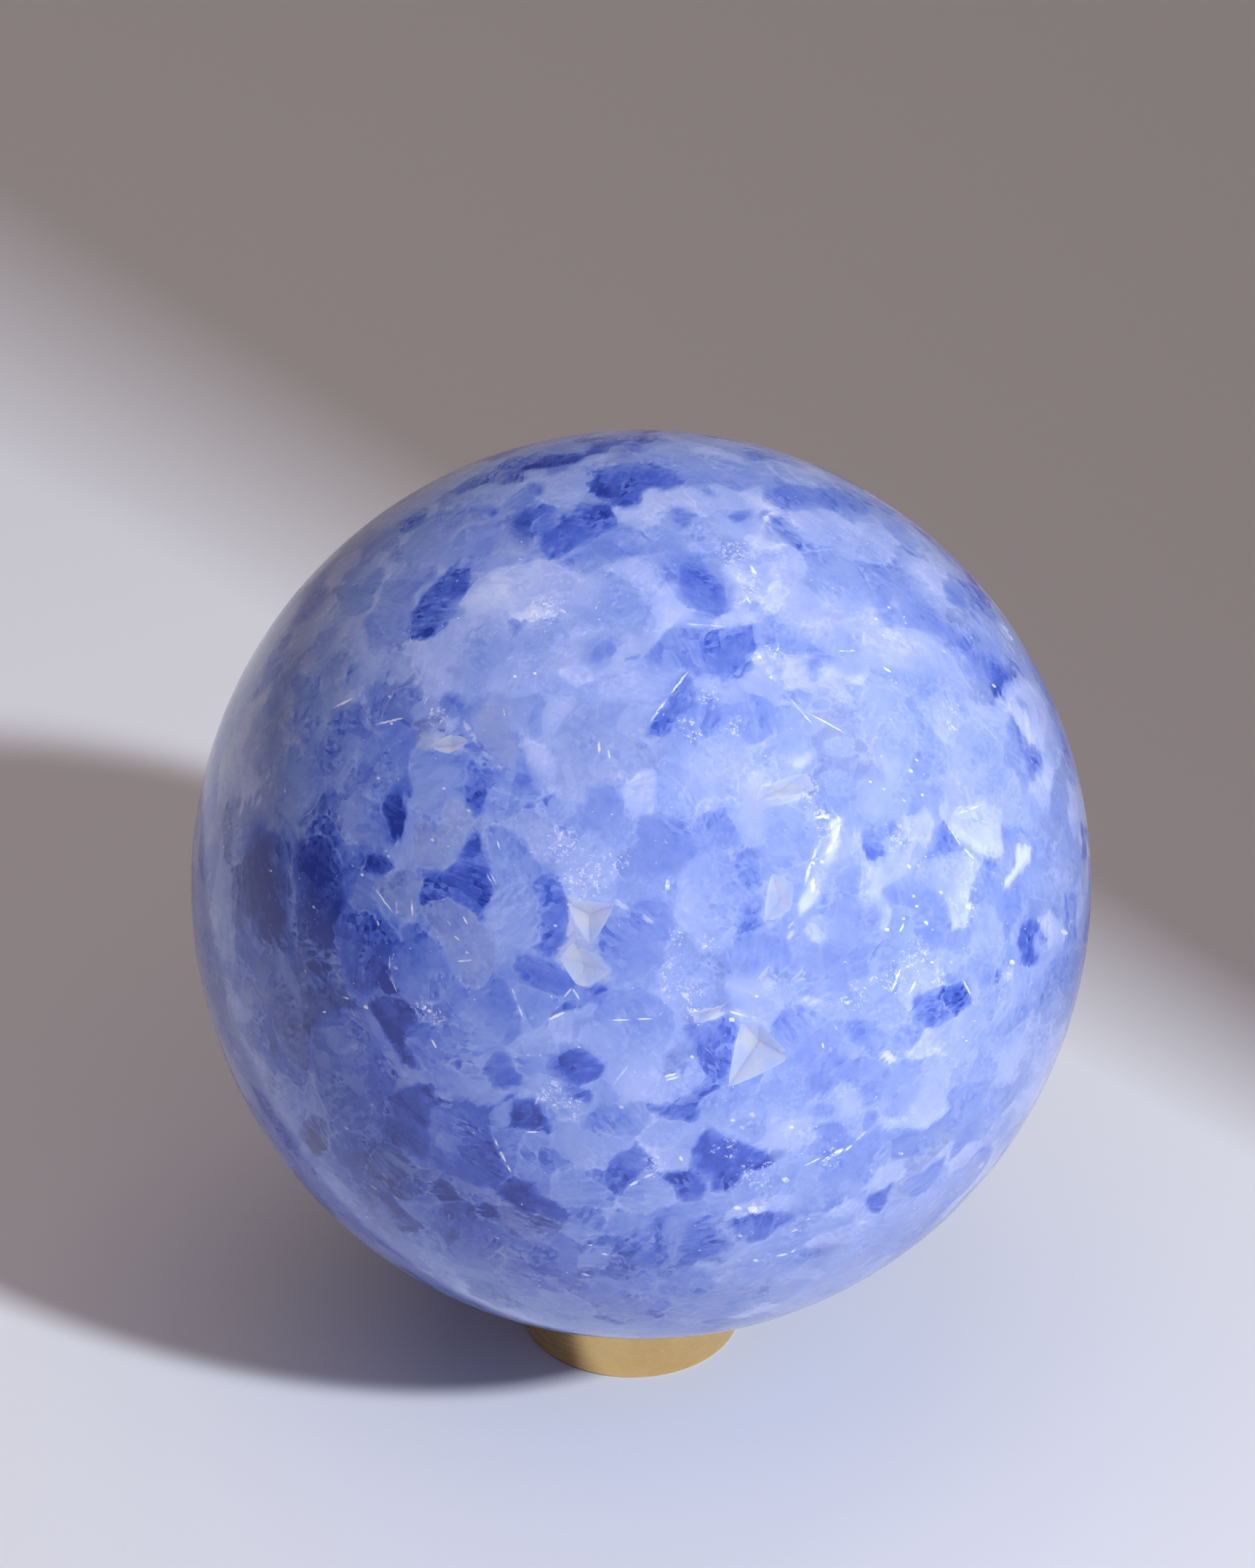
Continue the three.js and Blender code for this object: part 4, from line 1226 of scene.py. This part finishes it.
# dots are painted glints off small broken crystals
DOTS = [
    # x, y and radius in px
    (1222, 835, 3), (1204, 851, 3), (1245, 857, 3), (1297, 895, 4), (371, 1196, 4), (536, 958, 3),
    (538, 995, 3), (520, 1070, 3), (498, 1203, 3), (531, 1170, 2), (534, 1178, 3), (594, 1155, 3),
    (610, 1084, 3), (645, 1115, 3), (708, 930, 3), (735, 926, 3), (1117, 1187, 4), (1130, 1185, 4),
    (1044, 903, 4), (1035, 1063, 3), (1227, 1154, 5), (1249, 1191, 4), (1261, 1190, 4), (1366, 943, 4),
    (1260, 1045, 3), (1252, 1060, 4), (1196, 1075, 3), (1215, 1085, 3), (1329, 1109, 3),
    (1268, 1093, 3), (544, 1331, 4), (503, 1385, 4), (431, 1247, 3), (582, 1385, 6), (574, 1381, 4),
    (590, 1390, 4), (763, 1273, 3), (730, 1400, 4), (757, 1370, 3), (743, 1451, 3), (727, 1451, 3),
    (796, 1440, 3), (681, 1321, 3), (642, 1310, 3), (854, 1522, 4), (1040, 1370, 3), (960, 1359, 3),
    (951, 1453, 3), (1191, 1226, 3), (1293, 1227, 4), (1256, 1232, 3), (1260, 1246, 3), (1242, 1263, 3),
    (1273, 1269, 4), (1282, 1278, 3), (1219, 1278, 4), (1307, 1323, 3), (1281, 1323, 3),
    (1339, 1223, 5), (1331, 1247, 5), (1391, 1323, 5), (1463, 1282, 6), (683, 1702, 4), (476, 1551, 4),
    (1007, 1540, 4), (1034, 1533, 5), (1020, 1550, 4), (1088, 1550, 4), (1039, 1733, 4),
    (1033, 1695, 4), (1014, 1661, 6), (1035, 1663, 9), (1080, 1622, 6), (1016, 1699, 5), (957, 1393, 7),
    (1006, 1402, 5), (1238, 1586, 4), (1198, 1609, 3),
]
# clusters are where painted glints of specks and flakes gather
CLUSTERS = [
    # x, y and radius in px
    (775, 1160, 24), (805, 1205, 30), (845, 1185, 18), (1230, 940, 9), (1308, 971, 11), (1310, 997, 13),
    (582, 1386, 16), (600, 1400, 14), (957, 1393, 14), (918, 1330, 14), (922, 1358, 16),
    (950, 1365, 18), (975, 1297, 14), (1257, 1317, 26), (1332, 1255, 16), (1384, 1344, 12),
    (984, 1580, 9), (1002, 1572, 10), (1003, 1587, 9), (1027, 1606, 15), (1024, 1624, 15),
    (1049, 1625, 18), (1055, 1605, 12), (1055, 1647, 12), (1145, 1590, 22), (1035, 1663, 14),
    (1225, 1345, 20), (760, 1505, 22), (790, 1525, 16), (600, 985, 16), (1240, 1150, 18),
    (1175, 1370, 18), (930, 1290, 14), (1290, 1345, 14), (900, 1600, 16), (1095, 1692, 12),
    (1060, 895, 12), (1030, 800, 18), (750, 840, 22), (1020, 830, 14), (975, 960, 16), (950, 1000, 16),
    (1010, 1000, 14), (1130, 1130, 22), (1110, 1085, 18), (1010, 760, 22),
]
BRIGHT, FAINT = 0.75, 0.35
STROKE_WIDTH = 0.45
DOT_LENGTH = (0.9, 0.4)
DOT_WIDTH = 0.7
HIDDEN_FROM = 0.05
HIDDEN_STROKES = 130
HIDDEN_STRENGTHS = (0.3, 1)
HIDDEN_HALF_LENGTHS = {0.25: 0.5, 0.6: 0.3, 1.2: 0.2}
LENGTH_SPREAD = (0.6, 1.3)
HIDDEN_HALF_WIDTHS = (0.09, 0.2)
HIDDEN_CLUSTERS = 26
HIDDEN_RADII = (0.8, 2.2)
CLUSTER_FADE = 1.5
MARK_REACH = 6


def strokes_from_photo():
    """Middle, direction along, half length, half width in mm and strength of strokes and dots."""
    strokes = np.array(STROKES + FAINT_STROKES, float)
    dots = np.array(DOTS, float)
    dot_end = dots[:, 2:] * DOT_LENGTH
    start = skin_point(from_picture(np.concatenate([strokes[:, :2], dots[:, :2] - dot_end])))
    end = skin_point(from_picture(np.concatenate([strokes[:, 2:4], dots[:, :2] + dot_end])))
    half_length = np.linalg.norm(end - start, axis=1) / 2
    half_width = np.concatenate([strokes[:, 4] * STROKE_WIDTH, dots[:, 2] * DOT_WIDTH]) / PX_PER_MM
    strength = np.repeat([BRIGHT, FAINT, BRIGHT], [len(STROKES), len(FAINT_STROKES), len(DOTS)])
    return (start + end) / 2, end - start, half_length, half_width, strength


def hidden_places(count):
    """Random directions on the side that the camera doesn't see."""
    ways = unit(look.normal(size=(count * 3, 3)))
    return ways[facing_camera(skin_point(ways)) < HIDDEN_FROM][:count]


def hidden_strokes(count):
    """The same five values for random strokes on the hidden side."""
    ways = hidden_places(count)
    along = unit(np.cross(ways, look.normal(size=ways.shape)))
    lengths, chances = list(HIDDEN_HALF_LENGTHS), list(HIDDEN_HALF_LENGTHS.values())
    half_length = look.choice(lengths, len(ways), p=chances) * look.uniform(*LENGTH_SPREAD, len(ways))
    half_width = look.uniform(*HIDDEN_HALF_WIDTHS, len(ways))
    strength = look.uniform(*HIDDEN_STRENGTHS, len(ways))
    return skin_point(ways), along, half_length, half_width, strength


def join_strokes(first, second):
    """Both sets in one, laid flat on the skin, with the direction across each stroke."""
    middle, along, half_length, half_width, strength = (np.concatenate(p) for p in zip(first, second))
    out = unit(middle - CENTRE)
    along = unit(along - (along * out).sum(1, keepdims=True) * out)
    return middle, along, np.cross(out, along), half_length, half_width, strength


def nearest_stroke(places, strokes, chunk=20000):
    """The stroke whose middle line is nearest to each place."""
    middle, along, across, half_length = strokes[:4]
    nearest = []
    for start in range(0, len(places), chunk):
        offset = places[start:start + chunk, None, :] - middle
        lengthwise = np.maximum(np.abs((offset * along).sum(-1)) - half_length, 0)
        crosswise = (offset * across).sum(-1)
        nearest.append((lengthwise ** 2 + crosswise ** 2).argmin(1))
    return np.concatenate(nearest)


def place_on_strokes():
    """Each corner's place along and across its triangle's nearest stroke, in halves of the stroke's
    size, and the stroke's strength."""
    strokes = join_strokes(strokes_from_photo(), hidden_strokes(HIDDEN_STROKES))
    middle, along, across, half_length, half_width, strength = strokes
    centres = corner_skin.reshape(-1, 3, 3).mean(1)
    number = np.repeat(nearest_stroke(centres, strokes), 3)
    offset = corner_skin - middle[number]
    place = np.stack([(offset * along[number]).sum(1) / half_length[number],
                      (offset * across[number]).sum(1) / half_width[number]], -1)
    far = np.linalg.norm(offset, axis=1) > half_length[number] + MARK_REACH
    place[far] = MARK_REACH
    return np.concatenate([place, strength[number][:, None]], 1)


def cluster_share():
    """1 at the middle of a cluster, falling to 0 beyond its rim and less outside, at each grid point."""
    clusters = np.array(CLUSTERS, float)
    ways = np.concatenate([from_picture(clusters[:, :2]), hidden_places(HIDDEN_CLUSTERS)])
    middle = skin_point(ways)
    hidden_radius = look.uniform(*HIDDEN_RADII, len(middle) - len(clusters))
    radius = np.concatenate([clusters[:, 2] / PX_PER_MM, hidden_radius])
    share = np.zeros(len(directions))
    points = skin_point(directions)
    for place, reach in zip(middle, radius):
        share = np.maximum(share, 1 - np.linalg.norm(points - place, axis=1) / (CLUSTER_FADE * reach))
    return share


stroke_place = place_on_strokes()
cluster = cluster_share()[corner_point]
print(len(STROKES), "strokes,", len(DOTS), "dots and", len(CLUSTERS), "clusters from the photo")

# %% [markdown]
# ## Building the ball
#
# The pieces of the grid become one mesh. Its points stand at the skin or at a pit's face, and its
# normals are those of the true ellipsoid, so that the polish shows no facets, while in a pit they
# lean part of the way towards each face's own flat normal.

# %% Build the ball
PIT_CRISPNESS = 0.55


def make_object(name, points, faces):
    mesh = bpy.data.meshes.new(name)
    mesh.from_pydata((points * MM).tolist(), [], faces.tolist())
    made = bpy.data.objects.new(name, mesh)
    bpy.context.scene.collection.objects.link(made)
    return made


def add_values(mesh, name, values):
    kind, field = ("FLOAT_VECTOR", "vector") if values.ndim == 2 else ("FLOAT", "value")
    layer = mesh.attributes.new(name, kind, "CORNER")
    layer.data.foreach_set(field, values.astype(np.float32).ravel())


def corner_normals():
    """The ellipsoid's normal, position over radii squared. In a pit it leans to the face's own flat
    normal, but not all the way, because light that bleeds through the stone evens the faces out."""
    normals = unit(directions * skin_radius(directions)[:, None] / RADII ** 2)[corner_point]
    in_pit = corner_pit > 0
    flat = PIT_NORMALS[corner_pit[in_pit] - 1]
    normals[in_pit] = unit(normals[in_pit] * (1 - PIT_CRISPNESS) + flat * PIT_CRISPNESS)
    return normals


corner_pit = np.repeat(pit_face, 3)
ball = make_object("calcite_ball", CENTRE + directions * pit_radius(directions)[0][:, None], triangles)
ball.data.polygons.foreach_set("use_smooth", np.ones(len(triangles), bool))
ball.data.normals_split_custom_set(corner_normals().tolist())
add_values(ball.data, "tone", corner_tone)
add_values(ball.data, "grey", corner_grey)
add_values(ball.data, "from_border", from_border)
add_values(ball.data, "border_glow", border_glow)
add_values(ball.data, "streak_place", streak_place)
add_values(ball.data, "stroke_place", stroke_place)
add_values(ball.data, "cluster", cluster)
add_values(ball.data, "pit", (corner_pit > 0).astype(float))
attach(ball, "root")
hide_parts("calcite_sphere")
print("ball has", len(ball.data.polygons), "triangles")

# %% [markdown]
# ## Helpers for materials
#
# A material is a graph of small steps. These helpers add a step and join it to the ones before, so
# that a material reads as a list of formulas.

# %% Material helpers
class Graph:
    """The node tree of a new material, with short ways to add steps to it."""

    def __init__(self, name):
        self.material = bpy.data.materials.new(name)
        self.material.use_nodes = True
        self.tree = self.material.node_tree
        self.surface = self.tree.nodes["Principled BSDF"]

    def step(self, kind, inputs=(), **settings):
        """Adds a node. Inputs are numbers, colours, or the sockets of other nodes, by place or name."""
        made = self.tree.nodes.new(kind)
        for key, value in settings.items():
            setattr(made, key, value)
        pairs = inputs.items() if isinstance(inputs, dict) else enumerate(inputs)
        for key, value in pairs:
            self.put(value, made.inputs[key])
        return made

    def put(self, value, socket):
        if isinstance(value, bpy.types.NodeSocket):
            self.tree.links.new(value, socket)
        else:
            socket.default_value = value

    def math(self, operation, *inputs):
        return self.step("ShaderNodeMath", inputs, operation=operation).outputs[0]

    def vector_math(self, operation, *inputs):
        return self.step("ShaderNodeVectorMath", inputs, operation=operation).outputs[0]

    def value(self, name):
        return self.step("ShaderNodeAttribute", attribute_name=name).outputs["Fac"]

    def place(self, name):
        return self.step("ShaderNodeAttribute", attribute_name=name).outputs["Vector"]

    def noise(self, place, scale, detail=3.0, roughness=0.5):
        inputs = {"Vector": place, "Scale": scale, "Detail": detail, "Roughness": roughness}
        return self.step("ShaderNodeTexNoise", inputs).outputs["Fac"]

    def between(self, value, low, high, out_low=0.0, out_high=1.0):
        """Runs smoothly from out_low to out_high while the value runs from low to high."""
        inputs = {"Value": value, "From Min": low, "From Max": high,
                  "To Min": out_low, "To Max": out_high}
        return self.step("ShaderNodeMapRange", inputs, interpolation_type="SMOOTHSTEP").outputs[0]

    def mix(self, share, first, second):
        inputs = {0: share, 6: first, 7: second}
        return self.step("ShaderNodeMix", inputs, data_type="RGBA").outputs[2]

    def add(self, *terms):
        total = terms[0]
        for term in terms[1:]:
            total = self.math("ADD", total, term)
        return total

    def times(self, *factors):
        total = factors[0]
        for factor in factors[1:]:
            total = self.math("MULTIPLY", total, factor)
        return total

    def ramp(self, value, stops):
        """A colour that runs through stops of (position, colour)."""
        made = self.step("ShaderNodeValToRGB", {"Fac": value})
        elements = made.color_ramp.elements
        elements[0].position, elements[1].position = stops[0][0], stops[-1][0]
        elements[0].color, elements[1].color = (*stops[0][1], 1), (*stops[-1][1], 1)
        for position, colour in stops[1:-1]:
            elements.new(position).color = (*colour, 1)
        return made.outputs["Color"]


# %% [markdown]
# ## Blue calcite
#
# The tone of a grain is only the start. Clouds of milkiness drift through the stone, cleavage planes
# show as fine streaks that run one way in each grain, and borders are white because light scatters
# there. Cracks and broken crystals are white partly for that reason and partly as painted glints, and
# painted glints of thin flakes fill the clusters. Detail is livelier in the deep grains than in the
# milky ones. Light enters the stone and comes out again some way off, blue light furthest, which
# keeps the shaded side blue. Scales of noise are in waves per millimetre.

# %% Calcite material
STONE_COLOURS = [
    (0.0, (0.022, 0.050, 0.36)), (0.18, (0.072, 0.138, 0.60)), (0.33, (0.155, 0.232, 0.67)),
    (0.46, (0.230, 0.317, 0.72)), (0.57, (0.285, 0.370, 0.745)), (0.64, (0.332, 0.414, 0.78)),
    (0.76, (0.420, 0.490, 0.845)), (1.0, (0.69, 0.74, 0.94)),
]
GREY_COLOURS = [
    (0.0, (0.015, 0.022, 0.10)), (0.33, (0.15, 0.19, 0.47)), (0.52, (0.27, 0.325, 0.61)),
    (0.70, (0.38, 0.43, 0.68)), (1.0, (0.68, 0.70, 0.82)),
]
PIT_COLOUR = (0.41, 0.48, 0.75, 1)
PIT_WARM_COLOUR = (0.50, 0.53, 0.70, 1)
# the white of cracks, and of painted glints
WHITE_AND_PAINTED_GLINT_COLOUR = (0.93, 0.94, 0.97, 1)
CLOUD_STRENGTH = 0.30
MOTTLE_STRENGTH = 0.24
FROST_STRENGTH = 0.13
SEAM_STRENGTH = 0.19
RIM_STRENGTH = 0.25
SEAM_MM = 0.24
RIM_MM = 0.08
FIBRE_STRENGTH = 0.24
FIBRE_SCALES = (0.35, 2.2, 1.1)
LINE_STRENGTH = 0.28
LINE_SCALES = (0.10, 3.0, 0.30)
# crystals per mm, strength, and the noise from which they show
SHARDS = ((0.7, 0.15, 0.42), (2.2, 0.26, 0.47))
LIVELY, CALM = 1.25, 0.5
# flakes in the clusters are painted glints
FLAKE_GLINT_STRENGTH = 0.45
SPECKS_PER_MM = 3.0
SPECKLESS_SHARE = 0.991
STONE_POLISH = 0.12
PIT_ROUGHNESS = 0.35
STONE_BEND = 1.6
BLEED_MM = 2.0
BLEED_BY_COLOUR = (0.5, 0.8, 3.0)
SKIN_ROUGH, PIT_ROUGH = 0.06, 0.94
BUMP_MM = 0.1


def centred(g, noise):
    return g.math("SUBTRACT", noise, 0.5)


def stone_seams(g, place):
    """Milky seams along the grains' borders, ragged because noise shifts the distance from the
    border, and crisp white rims. Both are stronger along some borders than along others."""
    ragged = g.add(g.value("from_border"), g.times(centred(g, g.noise(place, 1.8, 4, 0.6)), 0.4))
    patch = g.between(g.noise(place, 0.33, 3, 0.6), 0.36, 0.62)
    glow = g.math("MULTIPLY_ADD", g.value("border_glow"), 0.9, 0.2)
    rim = g.times(g.between(g.value("from_border"), RIM_MM, 0.02), RIM_STRENGTH)
    return g.times(g.add(g.between(ragged, SEAM_MM, 0.02), rim), patch, glow)


def own_way(g, stretch):
    """Coordinates that run one way in each grain, stretched by so much along each of the three."""
    return g.vector_math("MULTIPLY", g.place("streak_place"), stretch)


def stone_fibres(g, place):
    """Fine fibres and cleavage lines: noise on long coordinates of each grain's own, in patches."""
    fibres = centred(g, g.noise(own_way(g, FIBRE_SCALES), 1.0, 4, 0.65))
    lines = centred(g, g.noise(own_way(g, LINE_SCALES), 1.0, 3, 0.6))
    fibre_patch = g.between(g.noise(place, 0.20, 2), 0.35, 0.6)
    line_patch = g.between(g.noise(place, 0.17, 3), 0.5, 0.62)
    return g.add(g.times(fibres, fibre_patch, FIBRE_STRENGTH), g.times(lines, line_patch, LINE_STRENGTH))


def stone_shards(g, place):
    """Small angular crystals: cells of a Voronoi pattern on each grain's own coordinates, each a
    little lighter or deeper. Cells of two sizes lie over each other, in patches."""
    total = 0.0
    for per_mm, strength, patch_from in SHARDS:
        long_way = own_way(g, (0.5 * per_mm, 1.3 * per_mm, per_mm))
        cells = g.step("ShaderNodeTexVoronoi", {"Vector": long_way, "Scale": 1.0})
        chance = g.step("ShaderNodeSeparateXYZ", [cells.outputs["Color"]]).outputs[0]
        near_cluster = g.times(g.value("cluster"), 0.12)
        patch_noise = g.add(g.noise(place, 0.15 + 0.08 * per_mm, 3, 0.6), near_cluster)
        patch = g.between(patch_noise, patch_from, patch_from + 0.14)
        total = g.add(total, g.times(centred(g, chance), patch, strength))
    return total


def stone_tone(g, place, grit):
    """Tone = grain + clouds + liveliness * (mottle + frost + seams + fibres + shards). Detail is
    livelier in deep grains than in milky ones."""
    tone = g.value("tone")
    clouds = centred(g, g.noise(place, 0.22, 3, 0.55))
    mottle = centred(g, g.noise(place, 0.9, 4, 0.7))
    frost_patch = g.times(g.between(g.noise(place, 0.35, 3, 0.6), 0.48, 0.6), g.between(tone, 0.3, 0.7))
    frost = g.times(frost_patch, g.between(grit, 0.45, 0.62, -0.3, 1.0))
    detail = g.add(g.times(mottle, MOTTLE_STRENGTH), g.times(frost, FROST_STRENGTH),
                   g.times(stone_seams(g, place), SEAM_STRENGTH),
                   stone_fibres(g, place), stone_shards(g, place))
    liveliness = g.between(tone, 0.15, 0.75, LIVELY, CALM)
    return g.add(tone, g.times(clouds, CLOUD_STRENGTH), g.times(detail, liveliness))


def stone_whites_and_painted_glints(g, place, grit):
    """Where light scatters to white, and painted glints: strokes with ragged sides, specks, and flakes
    in the clusters.
    """
    ragged = g.math("MULTIPLY_ADD", g.noise(place, 3.0, 3, 0.6), 1.6, -0.8)
    parts = g.step("ShaderNodeSeparateXYZ", [g.place("stroke_place")]).outputs
    gauge = g.add(g.math("POWER", parts[0], 2.0), g.math("POWER", g.add(parts[1], ragged), 2.0))
    strokes = g.times(g.between(gauge, 1.0, 0.3), parts[2], g.between(g.noise(place, 1.1, 2), 0.3, 0.6))
    stir = g.step("ShaderNodeTexNoise", {"Vector": place, "Scale": 1.3, "Detail": 3.0}).outputs["Color"]
    stirred = g.vector_math("MULTIPLY_ADD", stir, (1.6, 1.6, 1.6), place)
    cells = g.step("ShaderNodeTexVoronoi", {"Vector": stirred, "Scale": SPECKS_PER_MM})
    chance = g.step("ShaderNodeSeparateXYZ", [cells.outputs["Color"]]).outputs
    likely = g.add(SPECKLESS_SHARE, g.times(g.math("MAXIMUM", g.value("cluster"), 0.0), -0.75),
                   g.times(g.between(g.noise(place, 0.12, 2), 0.5, 0.7), -0.03))
    size = g.times(g.between(cells.outputs["Distance"], 0.34, 0.10),
                   g.between(chance[1], 0.0, 1.0, 0.1, 1.0))
    specks = g.times(size, g.math("GREATER_THAN", chance[0], likely))
    flakes = g.times(g.between(grit, 0.55, 0.62), g.between(g.value("cluster"), 0.2, 0.6),
                     FLAKE_GLINT_STRENGTH)
    return g.math("MINIMUM", g.add(strokes, specks, flakes), 1.0)


def make_calcite():
    g = Graph("blue_calcite")
    metres = g.step("ShaderNodeTexCoord").outputs["Object"]
    place = g.vector_math("MULTIPLY", metres, (1 / MM, 1 / MM, 1 / MM))
    grit = g.noise(place, 2.4, 3, 0.7)
    tone = stone_tone(g, place, grit)
    colour = g.mix(g.value("grey"), g.ramp(tone, STONE_COLOURS), g.ramp(tone, GREY_COLOURS))
    # white cracks and painted glints laid over the stone's colour
    colour = g.mix(stone_whites_and_painted_glints(g, place, grit), colour, WHITE_AND_PAINTED_GLINT_COLOUR)
    pit_stain = g.between(g.noise(place, 0.6, 3), 0.4, 0.65)
    colour = g.mix(g.value("pit"), colour, g.mix(pit_stain, PIT_COLOUR, PIT_WARM_COLOUR))
    surface = g.surface
    g.put(colour, surface.inputs["Base Color"])
    polish = g.between(g.noise(place, 0.8, 3), 0.4, 0.7, STONE_POLISH - 0.03, STONE_POLISH + 0.05)
    g.put(g.add(polish, g.times(g.value("pit"), PIT_ROUGHNESS)), surface.inputs["Roughness"])
    surface.inputs["IOR"].default_value = STONE_BEND
    surface.inputs["Subsurface Weight"].default_value = 1.0
    surface.inputs["Subsurface Radius"].default_value = BLEED_BY_COLOUR
    surface.inputs["Subsurface Scale"].default_value = BLEED_MM * MM
    rough = g.times(g.noise(place, 5.0, 4, 0.6), g.add(SKIN_ROUGH, g.times(g.value("pit"), PIT_ROUGH)))
    bump = g.step("ShaderNodeBump", {"Strength": 0.5, "Distance": BUMP_MM * MM, "Height": rough})
    g.put(bump.outputs[0], surface.inputs["Normal"])
    return g.material


ball.data.materials.append(make_calcite())

# %% [markdown]
# ## The brass ring
#
# The ring was turned on a lathe, so it is one outline swept round. The outline is the frame's own:
# a flat foot, a straight outside wall with rounded edges, and a seat that slopes in to the bore,
# where the ball rests. Here its edges are rounder and its circle finer than in the frame.

# %% Brass ring
RING_SIDES = 192
RING_OUTER = (ring_high[0] - ring_low[0]) / 2
RING_HEIGHT = ring_high[2] - ring_low[2]
RING_BORE = 7.4
SEAT_OUTER = 8.8
TOP_ROUND = 0.5
FOOT_ROUND = 0.3
BORE_CHAMFER = 0.4
ROUND_STEPS = 8
SMOOTH_UP_TO = 40
BRASS_COLOUR = (0.95, 0.64, 0.25, 1)
BRASS_DARK_COLOUR = (0.82, 0.50, 0.17, 1)
TARNISH_STRENGTH = 0.6
BRASS_ROUGHNESS = (0.22, 0.36)
MARKS_PER_MM = 9.0
MARKS_ALONG = 0.12
MARK_DEPTH_MM = 0.03


def arc(centre, radius, start, end):
    """Points of a circle's arc from one angle to another, in degrees."""
    angles = np.radians(np.linspace(start, end, ROUND_STEPS + 1))
    return np.stack([centre[0] + radius * np.cos(angles), centre[1] + radius * np.sin(angles)], -1)


def seat_drop():
    """How far the seat sinks from its rim to the bore: it is a cone that touches the ball half-way
    across, so its slope is the skin's there, the ratio of the radii times s / root(1 - s^2)."""
    share = (RING_BORE + SEAT_OUTER) / 2 / RADII[0]
    slope = RADII[2] / RADII[0] * share / math.sqrt(1 - share ** 2)
    return (SEAT_OUTER - RING_BORE) * slope


def ring_outline():
    """Radius and height along the ring's section, from the bore's foot outwards and round."""
    return np.concatenate([
        [(RING_BORE, BORE_CHAMFER), (RING_BORE + BORE_CHAMFER, 0)],
        arc((RING_OUTER - FOOT_ROUND, FOOT_ROUND), FOOT_ROUND, -90, 0),
        arc((RING_OUTER - TOP_ROUND, RING_HEIGHT - TOP_ROUND), TOP_ROUND, 0, 90),
        [(SEAT_OUTER, RING_HEIGHT), (RING_BORE, RING_HEIGHT - seat_drop())],
    ])


def make_ring():
    outline = ring_outline()
    turns = np.arange(RING_SIDES) * 2 * np.pi / RING_SIDES
    radius, height = outline[:, 0][:, None], outline[:, 1][:, None]
    points = np.stack([radius * np.cos(turns), radius * np.sin(turns), height + 0 * turns], -1)
    row, column = np.meshgrid(np.arange(len(outline)), np.arange(RING_SIDES), indexing="ij")
    below = (row + 1) % len(outline)
    beside = (column + 1) % RING_SIDES
    faces = np.stack([row * RING_SIDES + column, row * RING_SIDES + beside,
                      below * RING_SIDES + beside, below * RING_SIDES + column], -1).reshape(-1, 4)
    ring = make_object("turned_brass_ring", points.reshape(-1, 3), faces)
    ring.data.polygons.foreach_set("use_smooth", np.ones(len(faces), bool))
    ring.data.set_sharp_from_angle(angle=math.radians(SMOOTH_UP_TO))
    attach(ring, "root")
    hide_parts("brass_ring")
    return ring


def make_brass():
    """Brass whose bump and roughness run round the ring, as the lathe's tool did: noise that is
    stretched along x and y, and fine along z and outwards. Its tarnish lies in patches."""
    g = Graph("polished_brass")
    metres = g.step("ShaderNodeTexCoord").outputs["Object"]
    place = g.vector_math("MULTIPLY", metres, (1 / MM, 1 / MM, 1 / MM))
    parts = g.step("ShaderNodeSeparateXYZ", [place])
    flat = g.vector_math("MULTIPLY", place, (1, 1, 0))
    from_axis = g.step("ShaderNodeVectorMath", [flat], operation="LENGTH").outputs["Value"]
    crosswise = g.times(g.add(parts.outputs[2], from_axis), MARKS_PER_MM)
    lengthwise = [g.times(parts.outputs[axis], MARKS_ALONG) for axis in (0, 1)]
    around = g.step("ShaderNodeCombineXYZ", [*lengthwise, crosswise]).outputs[0]
    marks = g.noise(around, 1.0, 4, 0.65)
    tarnish = g.between(g.noise(place, 0.25, 4, 0.6), 0.45, 0.75)
    colour = g.mix(g.times(tarnish, TARNISH_STRENGTH), BRASS_COLOUR, BRASS_DARK_COLOUR)
    g.put(colour, g.surface.inputs["Base Color"])
    g.surface.inputs["Metallic"].default_value = 1.0
    g.put(g.between(marks, 0.3, 0.7, *BRASS_ROUGHNESS), g.surface.inputs["Roughness"])
    bump = g.step("ShaderNodeBump", {"Strength": 0.35, "Distance": MARK_DEPTH_MM * MM, "Height": marks})
    g.put(bump.outputs[0], g.surface.inputs["Normal"])
    return g.material


ring = make_ring()
ring.data.materials.append(make_brass())
print("ring has", len(ring.data.polygons), "faces and stands", round(RING_HEIGHT, 2), "mm tall")
